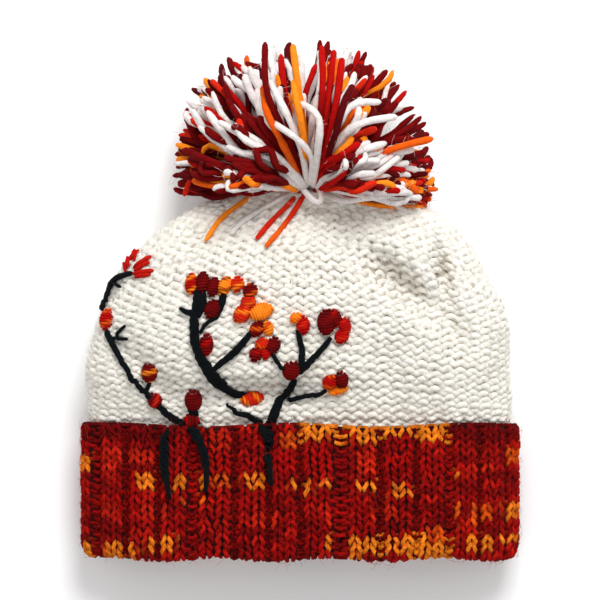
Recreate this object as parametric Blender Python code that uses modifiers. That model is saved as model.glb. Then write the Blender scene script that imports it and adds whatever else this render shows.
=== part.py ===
"""A knitted bobble hat lying on its back: a gathered crown, a folded ribbed cuff, and a tied pompom.

Metres, +Z up. +Y runs from the brim to the pompom, and the front of the hat faces up.
The origin is on the flat underside of the crown, where the hat rests.
"""

import math

import bmesh
import bpy
import numpy as np
from mathutils import Vector

# Crown
CROWN_WIDTH = 0.230
CROWN_LENGTH = 0.1294
CROWN_HEIGHT = 0.060
CROWN_WALL = 0.0032
CROWN_RINGS = 17
CROWN_STEPS = 54
WIDEST_LEVEL = 0.45
BACK_FLATTENING = 1.12
SIDE_SQUARENESS = 0.40
TOP_SQUARENESS = 0.85
GATHERS = 9
GATHER_DEPTH = 0.0026
GATHER_FROM = 0.55
GATHER_FADE_IN = 0.20
GATHER_FADE_OUT = 0.12
ARCH_SOFTNESS = 0.30
DENTS_FROM = 0.10
DENTS_UNTIL = 0.95
DENTS_FADE = 0.25

# Cuff
CUFF_WIDTH = 0.240
CUFF_HEIGHT = 0.046
CUFF_DEPTH = 0.071
CUFF_EDGE_Y = -0.029
CUFF_WALL = 0.0040
INNER_LAYER_DEPTH = 0.057
RIB_REPEATS = 27
RIB_STITCHES = 3
RIB_DEPTH = 0.0012
LAYER_GAP = 0.0006
EDGE_WAVE = 0.0010
EDGE_WAVES = 2.5
EDGE_WAVE_START = 1.9
FOLD_WAVE = 0.0010
FOLD_WAVES = 4
CORNER_PULL = 0.0030
CORNER_SHARPNESS = 9

# Fit between pieces
SEAT_GAP = 0.0003
TUCK_CLEARANCE = 0.0005

# Pompom and its tie
POMPOM_REACH = 0.071
LOCK_RADIUS = 0.0086
HEAD_RADIUS = 0.0110
NECK_RADIUS = 0.0075
TIE_YARN_RADIUS = 0.0017
TIE_LOOP_REACH = 0.011
TIE_LOOP_WIDTH = 0.009
TIE_LOOP_LEAN = 0.70
TIE_LOOP_KNEE = 0.40

# Fineness: points along half a section before it is evened, steps of the cuff's legs and fold, and of the loop
SECTION_POINTS = 361
OUTER_LEG_STEPS = 5
FOLD_STEPS = 5
INNER_LEG_STEPS = 3
LOOP_STEPS = 16

# Sections of the crown from the cuff's edge (0) to the gathered top (1). rise is a share of the rows.
# side_y and arch are shares of CROWN_LENGTH: where a row meets the outline, and how far its middle runs ahead.
# left and right are shares of half CROWN_WIDTH, top and under are shares of CROWN_HEIGHT.
SECTION_COLUMNS = ("rise", "side_y", "arch", "left", "right", "top", "under")
SECTIONS = (
    (0.087, 0.128, 0.020, 1.007, 1.000, 0.810, 0.000),
    (0.150, 0.224, 0.031, 1.010, 0.988, 0.900, 0.000),
    (0.260, 0.386, 0.046, 0.974, 0.990, 0.975, 0.000),
    (0.350, 0.510, 0.054, 0.922, 0.957, 1.000, 0.000),
    (0.435, 0.641, 0.070, 0.859, 0.874, 0.985, 0.000),
    (0.520, 0.750, 0.085, 0.743, 0.813, 0.935, 0.000),
    (0.587, 0.827, 0.098, 0.640, 0.738, 0.875, 0.020),
    (0.650, 0.885, 0.094, 0.530, 0.643, 0.820, 0.060),
    (0.740, 0.935, 0.062, 0.374, 0.487, 0.750, 0.140),
    (0.826, 0.966, 0.031, 0.226, 0.322, 0.667, 0.240),
    (0.913, 0.985, 0.012, 0.096, 0.157, 0.567, 0.350),
    (1.000, 1.000, 0.000, -0.017, 0.017, 0.467, 0.467),
)

# Dents and puffs on the front. across is a share of CROWN_WIDTH and along of CROWN_LENGTH, from the middle of
# the cuff's edge. length and width are shares of CROWN_WIDTH, turn is in degrees, depth is a share of CROWN_HEIGHT.
DENT_COLUMNS = ("across", "along", "length", "width", "turn", "depth")
DENTS = (
    (0.250, 0.560, 0.070, 0.036, -38, 0.115),
    (0.340, 0.610, 0.058, 0.016, -84, 0.085),
    (0.362, 0.390, 0.060, 0.020, -80, 0.035),
    (-0.360, 0.230, 0.110, 0.024, -48, 0.070),
    (-0.110, 0.130, 0.100, 0.020, 0, 0.120),
    (-0.060, 0.240, 0.080, 0.020, 12, -0.035),
    (-0.250, 0.340, 0.090, 0.110, 0, -0.055),
    (0.205, 0.250, 0.100, 0.024, 88, 0.030),
    (0.020, 0.900, 0.110, 0.030, 0, 0.060),
)

# One lock of the pompom: share of its length, share of LOCK_RADIUS.
LOCK_PROFILE_COLUMNS = ("along", "radius")
LOCK_PROFILE = ((0.10, 0.42), (0.38, 0.74), (0.66, 1.00), (0.87, 0.76), (1.00, 0.16))

# How locks differ within a row: a share of their reach, and degrees of lift, each in a wave along the row.
REACH_UNEVENNESS = 0.05
REACH_WAVE = 2.4
LIFT_UNEVENNESS = 5
LIFT_WAVE = 1.7

# Rows of locks. lift is the angle above the floor and from_side the angle of the first lock above the X axis,
# in degrees. reach is a share of POMPOM_REACH, and sag a share of that reach which the tip drops.
LOCK_ROW_COLUMNS = ("lift", "count", "from_side", "reach", "sag")
LOCK_ROWS = (
    (-6, 12, 4, 0.93, 0.24),
    (15, 12, -2, 1.00, 0.12),
    (35, 11, -9, 1.00, 0.06),
    (55, 8, -4, 0.97, 0.02),
    (75, 4, 25, 0.92, 0.00),
)

COLOURS = {
    "cream_wool": ("#EDE8DC", 0.95),
    "red_wool": ("#8E1512", 0.95),
    "pompom_wool": ("#C9897C", 0.95),
    "white_yarn": ("#F2EFEA", 0.95),
}


def clear_scene():
    for obj in list(bpy.data.objects):
        bpy.data.objects.remove(obj, do_unlink=True)


def linear(hex_colour):
    shares = [int(hex_colour[i : i + 2], 16) / 255 for i in (1, 3, 5)]
    return [s / 12.92 if s <= 0.04045 else ((s + 0.055) / 1.055) ** 2.4 for s in shares]


def material(name):
    colour, roughness = COLOURS[name]
    made = bpy.data.materials.new(name)
    made.use_nodes = True
    shader = made.node_tree.nodes["Principled BSDF"]
    shader.inputs["Base Color"].default_value = (*linear(colour), 1)
    shader.inputs["Roughness"].default_value = roughness
    shader.inputs["Metallic"].default_value = 0
    return made


def collection(name, helper=False):
    made = bpy.data.collections.new(name)
    bpy.context.scene.collection.children.link(made)
    made.hide_render = helper
    return made


def add_object(name, mesh, group, finish=None):
    obj = bpy.data.objects.new(name, mesh)
    group.objects.link(obj)
    if finish:
        mesh.materials.clear()
        mesh.materials.append(finish)
        mesh.shade_smooth()
        mesh.set_sharp_from_angle(angle=math.radians(50))
    return obj


def smooth_column(at, values, rise):
    """A curve through a table's column that never overshoots its rows."""
    at = np.asarray(at, float)
    values = np.asarray(values, float)
    span = np.diff(at)
    slope = np.diff(values) / span
    tangent = np.concatenate([slope[:1], np.zeros(len(slope) - 1), slope[-1:]])
    for i in range(1, len(slope)):
        if slope[i - 1] * slope[i] > 0:
            tangent[i] = 2 * slope[i - 1] * slope[i] / (slope[i - 1] + slope[i])
    i = int(np.clip(np.searchsorted(at, rise) - 1, 0, len(span) - 1))
    s = (rise - at[i]) / span[i]
    return (
        (1 + 2 * s) * (1 - s) ** 2 * values[i]
        + s * (1 - s) ** 2 * span[i] * tangent[i]
        + s * s * (3 - 2 * s) * values[i + 1]
        + s * s * (s - 1) * span[i] * tangent[i + 1]
    )


def tuck_inset():
    """How far inside the cuff's outer surface the crown's outer surface lies where it is tucked in."""
    return CUFF_WALL + RIB_DEPTH + TUCK_CLEARANCE


def cuff_section(side_y):
    """The measures of the cuff's outer surface, by name."""
    return {
        "side_y": side_y,
        "arch": 0.0,
        "left": CUFF_WIDTH / 2,
        "right": CUFF_WIDTH / 2,
        "top": CUFF_HEIGHT,
        "under": 0.0,
        "square": SIDE_SQUARENESS,
    }


def crown_section(rise):
    """The measures of one crown section in metres, by name."""
    inset = tuck_inset()
    mouth = {
        "rise": 0.0,
        "side_y": CUFF_EDGE_Y + EDGE_WAVE,
        "arch": 0.0,
        "left": CUFF_WIDTH / 2 - inset,
        "right": CUFF_WIDTH / 2 - inset,
        "top": CUFF_HEIGHT - inset,
        "under": inset,
    }
    scale = {
        "rise": 1.0,
        "side_y": CROWN_LENGTH,
        "arch": CROWN_LENGTH,
        "left": CROWN_WIDTH / 2,
        "right": CROWN_WIDTH / 2,
        "top": CROWN_HEIGHT,
        "under": CROWN_HEIGHT,
    }
    columns = {}
    for index, name in enumerate(SECTION_COLUMNS):
        start = CUFF_EDGE_Y if name == "side_y" else 0.0
        columns[name] = [mouth[name]] + [start + row[index] * scale[name] for row in SECTIONS]
    section = {name: smooth_column(columns["rise"], columns[name], rise) for name in SECTION_COLUMNS}
    section["square"] = SIDE_SQUARENESS + (TOP_SQUARENESS - SIDE_SQUARENESS) * rise
    return section


def half_section(section, front):
    """Close points along the front or back half of a section, from the right side to the left."""
    angle = np.linspace(0, math.pi, SECTION_POINTS)
    cosine = np.cos(angle)
    sine = np.sin(angle)
    side = np.where(cosine > 0, section["right"], section["left"])
    x = side * np.sign(cosine) * np.abs(cosine) ** section["square"]
    middle = section["under"] + WIDEST_LEVEL * (section["top"] - section["under"])
    softened = np.hypot(sine, ARCH_SOFTNESS) - ARCH_SOFTNESS
    softened /= math.hypot(1, ARCH_SOFTNESS) - ARCH_SOFTNESS
    if front:
        y = section["side_y"] + section["arch"] * softened
        z = middle + (section["top"] - middle) * sine
    else:
        y = np.full_like(x, section["side_y"])
        z = middle - (middle - section["under"]) * np.minimum(1, BACK_FLATTENING * sine)
    return np.stack([x, y, z], axis=1)


def even_points(path, shares):
    """The points at these shares of a path's length."""
    steps = np.linalg.norm(np.diff(path, axis=0), axis=1)
    along = np.concatenate([[0], np.cumsum(steps)])
    wanted = np.asarray(shares) * along[-1]
    return np.stack([np.interp(wanted, along, path[:, i]) for i in range(3)], axis=1)


def ring_turns(count):
    """Where the points of a ring lie, as shares of one turn."""
    return np.arange(count) / count


def section_ring(section, count):
    """Points round a section: the front from right to left, then the back from left to right."""
    turns = ring_turns(count)
    front = turns < 0.5
    ring = np.empty((count, 3))
    ring[front] = even_points(half_section(section, True), 2 * turns[front])
    ring[~front] = even_points(half_section(section, False)[::-1], 2 * turns[~front] - 1)
    return ring


def outward_normals(ring):
    """Unit normals of a ring in its XZ plane, pointing out."""
    ahead = np.roll(ring, -1, axis=0) - np.roll(ring, 1, axis=0)
    outward = np.stack([ahead[:, 2], np.zeros(len(ring)), -ahead[:, 0]], axis=1)
    return outward / np.linalg.norm(outward, axis=1)[:, None]


def tuck_ring(count):
    """The crown's outer surface where the cuff's outer layer wraps it."""
    ring = section_ring(cuff_section(CUFF_EDGE_Y), count)
    return ring - outward_normals(ring) * tuck_inset()


def dent_depth(x, y):
    """How far the front is pressed in at a place, negative where it puffs out."""
    depth = np.zeros_like(x)
    for row in DENTS:
        dent = dict(zip(DENT_COLUMNS, row))
        dx = x - dent["across"] * CROWN_WIDTH
        dy = y - CUFF_EDGE_Y - dent["along"] * CROWN_LENGTH
        turn = math.radians(dent["turn"])
        along = (dx * math.cos(turn) + dy * math.sin(turn)) / (dent["length"] * CROWN_WIDTH)
        beside = (dy * math.cos(turn) - dx * math.sin(turn)) / (dent["width"] * CROWN_WIDTH)
        depth += dent["depth"] * CROWN_HEIGHT * np.exp(-0.5 * (along**2 + beside**2))
    return depth


def crown_ring(rise, count):
    """Outer surface of the crown at one rise, with its dents and its gathers."""
    section = crown_section(rise)
    ring = section_ring(section, count)
    fitted = tuck_ring(count) - section_ring(crown_section(0.0), count)
    fitted[:, 1] = 0
    first_rise = SECTIONS[0][0]
    ring += fitted * max(0.0, 1 - rise / first_rise)
    middle = section["under"] + WIDEST_LEVEL * (section["top"] - section["under"])
    facing = np.clip((ring[:, 2] - middle) / max(section["top"] - middle, 1e-6), 0, 1)
    dented = np.clip(rise / DENTS_FROM, 0, 1) * np.clip((DENTS_UNTIL - rise) / DENTS_FADE, 0, 1)
    ring[:, 2] -= dent_depth(ring[:, 0], ring[:, 1]) * np.sqrt(facing) * dented
    gathered = np.clip((rise - GATHER_FROM) / GATHER_FADE_IN, 0, 1) * np.clip((1 - rise) / GATHER_FADE_OUT, 0, 1)
    ring[:, 1] += GATHER_DEPTH * gathered * (np.cos(2 * math.pi * GATHERS * ring_turns(count)) - 1)
    return ring


def apex():
    """The middle of the gathered top, on the crown's outer surface."""
    section = crown_section(1.0)
    return Vector(((section["right"] - section["left"]) / 2, section["side_y"], section["top"]))


def loft(rings, pole=None):
    """An open surface through rings of equally many points, closed at a pole where one is given."""
    work = bmesh.new()
    loops = [[work.verts.new(point) for point in ring] for ring in rings]
    count = len(loops[0])
    for lower, upper in zip(loops, loops[1:]):
        for i in range(count):
            j = (i + 1) % count
            work.faces.new((lower[i], lower[j], upper[j], upper[i]))
    if pole is not None:
        tip = work.verts.new(pole)
        for i in range(count):
            work.faces.new((loops[-1][i], loops[-1][(i + 1) % count], tip))
    return work


def to_mesh(work, name):
    mesh = bpy.data.meshes.new(name)
    work.to_mesh(mesh)
    work.free()
    return mesh


def add_wall(obj, thickness, offset):
    wall = obj.modifiers.new("wall", "SOLIDIFY")
    wall.thickness = thickness
    wall.offset = offset
    wall.use_even_offset = True


def make_crown(group):
    """The crown: from where it meets the cuff's inner layer, out of the cuff, up to the gathered top."""
    tuck = crown_ring(0.0, CROWN_STEPS)
    tuck[:, 1] = CUFF_EDGE_Y - CUFF_DEPTH + INNER_LAYER_DEPTH + SEAT_GAP
    rises = np.linspace(0, 1, CROWN_RINGS + 1)[:-1]
    rings = [tuck] + [crown_ring(rise, CROWN_STEPS) for rise in rises]
    work = loft(rings, pole=apex())
    bmesh.ops.reverse_faces(work, faces=work.faces)
    crown = add_object("crown", to_mesh(work, "crown"), group, material("cream_wool"))
    add_wall(crown, CROWN_WALL, -1)
    return crown


def cuff_path():
    """The cuff's cross-section through the middle of its cloth: (height above the fold, how far in) pairs."""
    turn_radius = (CUFF_WALL + LAYER_GAP) / 2
    outer_heights = np.linspace(CUFF_DEPTH, turn_radius, OUTER_LEG_STEPS + 1)
    inner_heights = np.linspace(turn_radius, INNER_LAYER_DEPTH, INNER_LEG_STEPS + 1)
    angles = np.linspace(0, math.pi, FOLD_STEPS + 1)[1:-1]
    outer = [(height, 0.0) for height in outer_heights]
    fold = [(turn_radius * (1 - math.sin(a)), turn_radius * (1 - math.cos(a))) for a in angles]
    inner = [(height, 2 * turn_radius) for height in inner_heights]
    return outer + fold + inner


def cuff_ring(height, inset):
    """Middle surface of the cuff at a height above its fold, this far inside the outer layer."""
    count = RIB_REPEATS * RIB_STITCHES
    ring = section_ring(cuff_section(CUFF_EDGE_Y - CUFF_DEPTH + height), count)
    purl = np.arange(count) % RIB_STITCHES == RIB_STITCHES - 1
    inward = CUFF_WALL / 2 + inset + np.where(purl, RIB_DEPTH, 0.0)
    ring -= outward_normals(ring) * inward[:, None]
    pull = CORNER_PULL * np.clip(1 - height / (3 * CORNER_PULL), 0, 1) ** 2
    ring[:, 0] -= pull * (2 * ring[:, 0] / CUFF_WIDTH) ** CORNER_SHARPNESS
    inner_layer = inset > 0 and height > CUFF_DEPTH / 4
    if not inner_layer:
        up = np.clip(height / CUFF_DEPTH, 0, 1)
        turn = 2 * math.pi * ring[:, 0] / CUFF_WIDTH
        ring[:, 1] += EDGE_WAVE * up * np.sin(EDGE_WAVES * turn + EDGE_WAVE_START)
        ring[:, 1] += FOLD_WAVE * (1 - up) * np.sin(FOLD_WAVES * turn)
    return ring


def make_cuff(group):
    """The brim: a rib-knitted band folded up once, its inner layer running on into the crown."""
    work = loft([cuff_ring(height, inset) for height, inset in cuff_path()])
    cuff = add_object("cuff", to_mesh(work, "cuff"), group, material("red_wool"))
    add_wall(cuff, CUFF_WALL, 0)
    return cuff


def curve_mesh(name, splines, depth, resolution):
    """Closed tubes along splines, as one mesh. A spline is a list of (point, radius share) pairs."""
    curve = bpy.data.curves.new(name, "CURVE")
    curve.dimensions = "3D"
    curve.bevel_depth = depth
    curve.bevel_resolution = resolution
    curve.use_fill_caps = True
    for points in splines:
        spline = curve.splines.new("POLY")
        spline.points.add(len(points) - 1)
        for target, (point, radius) in zip(spline.points, points):
            target.co = (*point, 1)
            target.radius = radius
    guide = bpy.data.objects.new(name, curve)
    bpy.context.scene.collection.objects.link(guide)
    bpy.context.view_layer.update()
    mesh = bpy.data.meshes.new_from_object(guide.evaluated_get(bpy.context.evaluated_depsgraph_get()))
    bpy.data.objects.remove(guide, do_unlink=True)
    work = bmesh.new()
    work.from_mesh(mesh)
    bmesh.ops.remove_doubles(work, verts=work.verts, dist=1e-6)
    bmesh.ops.recalc_face_normals(work, faces=work.faces)
    work.to_mesh(mesh)
    work.free()
    return mesh


def tie_centre():
    """The middle of the ring of yarn, seated against the gathered top."""
    return apex() + Vector((0, 2 * SEAT_GAP + TIE_YARN_RADIUS, 0))


def head_centre():
    """The middle of the pompom's head, which the ring of yarn is seated against."""
    ring_hole = NECK_RADIUS + SEAT_GAP
    sunk = math.sqrt(max(HEAD_RADIUS**2 - ring_hole**2, 0.0))
    return tie_centre() + Vector((0, TIE_YARN_RADIUS + SEAT_GAP + sunk, 0))


def lock_points(side_angle, lift, reach, sag):
    """A lock's points and radius shares, from the head outwards, resting on the floor where it would sink."""
    start = head_centre()
    flat = Vector((math.cos(side_angle), math.sin(side_angle), 0))
    direction = flat * math.cos(lift) + Vector((0, 0, math.sin(lift)))
    points = []
    for along, radius in LOCK_PROFILE:
        point = start + direction * reach * along
        point.z -= sag * reach * along**2
        point.z = max(point.z, LOCK_RADIUS * radius)
        points.append((point, radius))
    return points


def make_pompom(group, helpers):
    """Locks in rows over the half ball that faces away from the crown, joined to a head on a short neck."""
    splines = []
    for values in LOCK_ROWS:
        row = dict(zip(LOCK_ROW_COLUMNS, values))
        first = math.radians(row["from_side"])
        last = math.pi - first
        for i in range(row["count"]):
            side_angle = first + (last - first) * i / (row["count"] - 1)
            uneven = 1 + REACH_UNEVENNESS * math.sin(REACH_WAVE * i + row["lift"])
            lift = row["lift"] + LIFT_UNEVENNESS * math.sin(LIFT_WAVE * i + row["lift"])
            reach = POMPOM_REACH * row["reach"] * uneven
            splines.append(lock_points(side_angle, math.radians(lift), reach, row["sag"]))
    locks = add_object(
        "pompom_locks", curve_mesh("pompom_locks", splines, LOCK_RADIUS, resolution=1), helpers
    )
    locks.hide_render = True
    locks.display_type = "WIRE"

    neck_start = apex() + Vector((0, SEAT_GAP, 0))
    neck_points = [(neck_start, 1.0), (head_centre(), 1.0)]
    neck = add_object("pompom_neck", curve_mesh("pompom_neck", [neck_points], NECK_RADIUS, 2), helpers)
    neck.hide_render = True
    neck.display_type = "WIRE"

    work = bmesh.new()
    bmesh.ops.create_icosphere(work, subdivisions=2, radius=HEAD_RADIUS)
    bmesh.ops.translate(work, vec=head_centre(), verts=work.verts)
    pompom = add_object("pompom", to_mesh(work, "pompom"), group, material("pompom_wool"))
    for part in (locks, neck):
        join = pompom.modifiers.new("join_" + part.name, "BOOLEAN")
        join.operation = "UNION"
        join.solver = "EXACT"
        join.use_self = True
        join.object = part
    return pompom


def tie_loop_points(foot, tip):
    """A long loop of yarn that rises from its foot, bends over, and comes back."""
    knee = Vector((foot.x + TIE_LOOP_KNEE * (tip.x - foot.x), foot.y, tip.z))
    points = []
    for angle in np.linspace(0, 2 * math.pi, LOOP_STEPS + 1)[1:-1]:
        share = (1 - math.cos(angle)) / 2
        spine = foot * (1 - share) ** 2 + knee * 2 * share * (1 - share) + tip * share**2
        points.append((spine + Vector((TIE_LOOP_WIDTH / 2 * math.sin(angle), 0, 0)), 1.0))
    return [(foot, 1.0)] + points


def make_tie(group, helpers):
    """White yarn round the pompom's neck, with one loop that bends over the crown's top."""
    ring_radius = NECK_RADIUS + SEAT_GAP + TIE_YARN_RADIUS
    centre = tie_centre()
    bpy.ops.mesh.primitive_torus_add(
        major_segments=24,
        minor_segments=8,
        major_radius=ring_radius,
        minor_radius=TIE_YARN_RADIUS,
        location=centre,
        rotation=(math.pi / 2, 0, 0),
    )
    tie = bpy.context.object
    tie.name = "pompom_tie"
    for owner in list(tie.users_collection):
        owner.objects.unlink(tie)
    group.objects.link(tie)
    tie.data.materials.append(material("white_yarn"))
    tie.data.shade_smooth()

    foot = centre + Vector((0, 0, ring_radius))
    above_crown = crown_section(GATHER_FROM)["top"] + 2 * TIE_YARN_RADIUS
    tip = Vector((centre.x + TIE_LOOP_LEAN * TIE_LOOP_REACH, centre.y - TIE_LOOP_REACH, above_crown))
    loop_mesh = curve_mesh("tie_loop", [tie_loop_points(foot, tip)], TIE_YARN_RADIUS, resolution=1)
    loop = add_object("tie_loop", loop_mesh, helpers)
    loop.hide_render = True
    loop.display_type = "WIRE"
    join = tie.modifiers.new("join_loop", "BOOLEAN")
    join.operation = "UNION"
    join.solver = "EXACT"
    join.use_self = True
    join.object = loop
    return tie


def main():
    clear_scene()
    hat = collection("bobble_hat")
    helpers = collection("helpers", helper=True)
    make_crown(hat)
    make_cuff(hat)
    make_pompom(hat, helpers)
    make_tie(hat, helpers)


main()
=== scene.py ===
# %% [markdown]
# # A knitted bobble hat, finished in Blender
#
# The frame is a solid model of the hat: crown, folded cuff, pompom and tie. It lies on its back, so +Z
# looks out of the front of the hat and +Y runs from the brim to the pompom. This script dresses that frame
# in yarn.

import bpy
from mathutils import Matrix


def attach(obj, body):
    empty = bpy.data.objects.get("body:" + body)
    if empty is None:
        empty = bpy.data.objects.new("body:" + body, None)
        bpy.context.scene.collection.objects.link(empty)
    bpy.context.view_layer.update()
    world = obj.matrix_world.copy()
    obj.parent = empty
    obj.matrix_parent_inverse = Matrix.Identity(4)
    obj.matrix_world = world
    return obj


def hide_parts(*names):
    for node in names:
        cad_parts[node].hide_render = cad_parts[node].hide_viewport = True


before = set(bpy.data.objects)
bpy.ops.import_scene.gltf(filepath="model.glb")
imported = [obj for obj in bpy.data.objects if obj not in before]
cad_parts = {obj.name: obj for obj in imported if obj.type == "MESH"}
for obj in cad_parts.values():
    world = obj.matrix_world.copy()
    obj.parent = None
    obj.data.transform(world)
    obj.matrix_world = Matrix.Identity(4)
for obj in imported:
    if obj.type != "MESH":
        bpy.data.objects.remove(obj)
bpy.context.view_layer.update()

import math

import bmesh
import bpy
import numpy as np
from mathutils import Vector
from mathutils.bvhtree import BVHTree

MM = 0.001
TINY = 1e-12
chance = np.random.default_rng(20)


def unit(vectors):
    """The same directions with a length of 1."""
    return vectors / np.maximum(np.linalg.norm(vectors, axis=-1, keepdims=True), TINY)


# %% [markdown]
# ## Photo places and colours
#
# Everything on this hat that can be seen is measured off one photograph. Such places could be typed in as
# metres, but then nobody could check them. A photograph taken from straight above is a map, with one pixel
# the same length all over the hat, so the places stay in pixels here and one function turns them into
# metres. The cuff spans 440 pixels and measures 240 mm, which gives the scale. Colours are treated alike:
# read as hex, turned linear once.

# %% Scale and colour helpers
PHOTO_SIDE = 600
MM_PER_PIXEL = 240 / 440
PIXEL_OF_X0 = 300
PIXEL_OF_Y0 = 372


def photo_place(px, py):
    """Metres in the hat's frame for a place in the photograph."""
    return (px - PIXEL_OF_X0) * MM_PER_PIXEL * MM, (PIXEL_OF_Y0 - py) * MM_PER_PIXEL * MM


def linear(hex_colour):
    """An sRGB hex colour as linear RGBA."""
    shares = [int(hex_colour[i : i + 2], 16) / 255 for i in (1, 3, 5)]
    return [s / 12.92 if s <= 0.04045 else ((s + 0.055) / 1.055) ** 2.4 for s in shares] + [1.0]


def blend(first, second, share):
    """One colour run into another, with a share of the second for each point along a yarn."""
    share = np.asarray(share)[:, None]
    return np.array(first) * (1 - share) + np.array(second) * share


DYES = {
    "cream": linear("#F3EFE6"),
    "white": linear("#E9E2DF"),
    "dark red": linear("#6E0507"),
    "wine": linear("#57060A"),
    "red": linear("#B00A07"),
    "light red": linear("#D0260F"),
    "bright red": linear("#C81A0C"),
    "orange": linear("#FC8A1E"),
    "deep orange": linear("#E85C10"),
    "black": linear("#0B0F12"),
}
print("one pixel is", round(MM_PER_PIXEL, 3), "mm")

# %% [markdown]
# ## The form of the hat
#
# The stitches have to follow the cloth, so the script needs the cloth as a function: give it a turn round
# the hat and a rise from the cuff to the gathered top, and it returns a point. It is the same loft that
# shapes the frame, sections from a short table joined by smooth curves, pressed in by a few dents.

# %% Named sizes of the frame
CROWN_WIDTH = 230 * MM
CROWN_LENGTH = 129.4 * MM
CROWN_HEIGHT = 60 * MM
WIDEST_LEVEL = 0.45
BACK_FLATTENING = 1.12
SIDE_SQUARENESS = 0.40
TOP_SQUARENESS = 0.85
GATHERS = 9
GATHER_DEPTH = 2.6 * MM
GATHER_FROM = 0.55
CUFF_WIDTH = 240 * MM
CUFF_HEIGHT = 46 * MM
CUFF_DEPTH = 71 * MM
CUFF_EDGE_Y = -29 * MM
CUFF_WALL = 4 * MM
INNER_LAYER_DEPTH = 57 * MM
RIB_DEPTH = 1.2 * MM
LAYER_GAP = 0.6 * MM
EDGE_WAVE = 1 * MM
FOLD_WAVE = 1 * MM
CORNER_PULL = 3 * MM
TUCK_INSET = CUFF_WALL + RIB_DEPTH + 0.5 * MM

SECTION_COLUMNS = ("rise", "side_y", "arch", "left", "right", "top", "under")
SECTIONS = (
    (0.087, 0.128, 0.020, 1.007, 1.000, 0.810, 0.000),
    (0.150, 0.224, 0.031, 1.010, 0.988, 0.900, 0.000),
    (0.260, 0.386, 0.046, 0.974, 0.990, 0.975, 0.000),
    (0.350, 0.510, 0.054, 0.922, 0.957, 1.000, 0.000),
    (0.435, 0.641, 0.070, 0.859, 0.874, 0.985, 0.000),
    (0.520, 0.750, 0.085, 0.743, 0.813, 0.935, 0.000),
    (0.587, 0.827, 0.098, 0.640, 0.738, 0.875, 0.020),
    (0.650, 0.885, 0.094, 0.530, 0.643, 0.820, 0.060),
    (0.740, 0.935, 0.062, 0.374, 0.487, 0.750, 0.140),
    (0.826, 0.966, 0.031, 0.226, 0.322, 0.667, 0.240),
    (0.913, 0.985, 0.012, 0.096, 0.157, 0.567, 0.350),
    (1.000, 1.000, 0.000, -0.017, 0.017, 0.467, 0.467),
)
DENT_COLUMNS = ("across", "along", "length", "width", "turn", "depth")
DENTS = (
    (0.240, 0.600, 0.075, 0.022, -42, 0.290),
    (0.336, 0.640, 0.048, 0.014, -86, 0.270),
    (0.362, 0.390, 0.060, 0.024, -80, 0.110),
    (-0.360, 0.230, 0.110, 0.024, -48, 0.110),
    (-0.110, 0.130, 0.100, 0.022, 0, 0.170),
    (-0.060, 0.240, 0.080, 0.022, 12, -0.055),
    (-0.250, 0.340, 0.090, 0.110, 0, -0.080),
    (0.205, 0.250, 0.100, 0.024, 88, 0.060),
    (0.020, 0.900, 0.110, 0.030, 0, 0.100),
)


# %% [markdown]
# ## Sections of the crown
#
# A knitted crown has no flat faces, so it could be sculpted, or lofted through sections. Sections are
# chosen here, because each one can be read from the photograph: how far left and right it reaches, and how
# high it arches. The columns of the table are joined by curves that never swing past a row, so no bulge
# appears that nobody wrote.

# %% Curves between the sections
def smooth_column(at, values, rise):
    """A curve through a table's column that never overshoots its rows."""
    span = np.diff(at)
    slope = np.diff(values) / span
    tangent = np.concatenate([slope[:1], np.zeros(len(slope) - 1), slope[-1:]])
    for i in range(1, len(slope)):
        if slope[i - 1] * slope[i] > 0:
            tangent[i] = 2 * slope[i - 1] * slope[i] / (slope[i - 1] + slope[i])
    i = int(np.clip(np.searchsorted(at, rise) - 1, 0, len(span) - 1))
    s = (rise - at[i]) / span[i]
    return (
        (1 + 2 * s) * (1 - s) ** 2 * values[i]
        + s * (1 - s) ** 2 * span[i] * tangent[i]
        + s * s * (3 - 2 * s) * values[i + 1]
        + s * s * (s - 1) * span[i] * tangent[i + 1]
    )


MOUTH = (
    0.0,
    EDGE_WAVE / CROWN_LENGTH,
    0.0,
    (CUFF_WIDTH / 2 - TUCK_INSET) / (CROWN_WIDTH / 2),
    (CUFF_WIDTH / 2 - TUCK_INSET) / (CROWN_WIDTH / 2),
    (CUFF_HEIGHT - TUCK_INSET) / CROWN_HEIGHT,
    TUCK_INSET / CROWN_HEIGHT,
)
COLUMNS = np.array((MOUTH,) + SECTIONS).T
print("sections", COLUMNS.shape[1], "with", len(SECTION_COLUMNS), "measures each")


def crown_section(rise):
    """The measures of one section of the crown, in metres."""
    shares = [smooth_column(COLUMNS[0], column, rise) for column in COLUMNS]
    section = dict(zip(SECTION_COLUMNS, shares))
    section["side_y"] = CUFF_EDGE_Y + section["side_y"] * CROWN_LENGTH
    section["arch"] *= CROWN_LENGTH
    for name in ("left", "right"):
        section[name] *= CROWN_WIDTH / 2
    for name in ("top", "under"):
        section[name] *= CROWN_HEIGHT
    section["square"] = SIDE_SQUARENESS + (TOP_SQUARENESS - SIDE_SQUARENESS) * rise
    return section


CUFF_SECTION = {
    "side_y": CUFF_EDGE_Y,
    "arch": 0.0,
    "left": CUFF_WIDTH / 2,
    "right": CUFF_WIDTH / 2,
    "top": CUFF_HEIGHT,
    "under": 0.0,
    "square": SIDE_SQUARENESS,
}


# %% [markdown]
# ## One ring of the hat
#
# A section is drawn in two halves, the arched front and the flat back, as powers of sine and cosine. Equal
# angles would crowd the points at the sides, where the stitches would then be squeezed. So the points are
# spread evenly by length, as stitches are.

# %% From a section to a ring of points
SECTION_STEPS = 361
ARCH_SOFTNESS = 0.3


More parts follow.
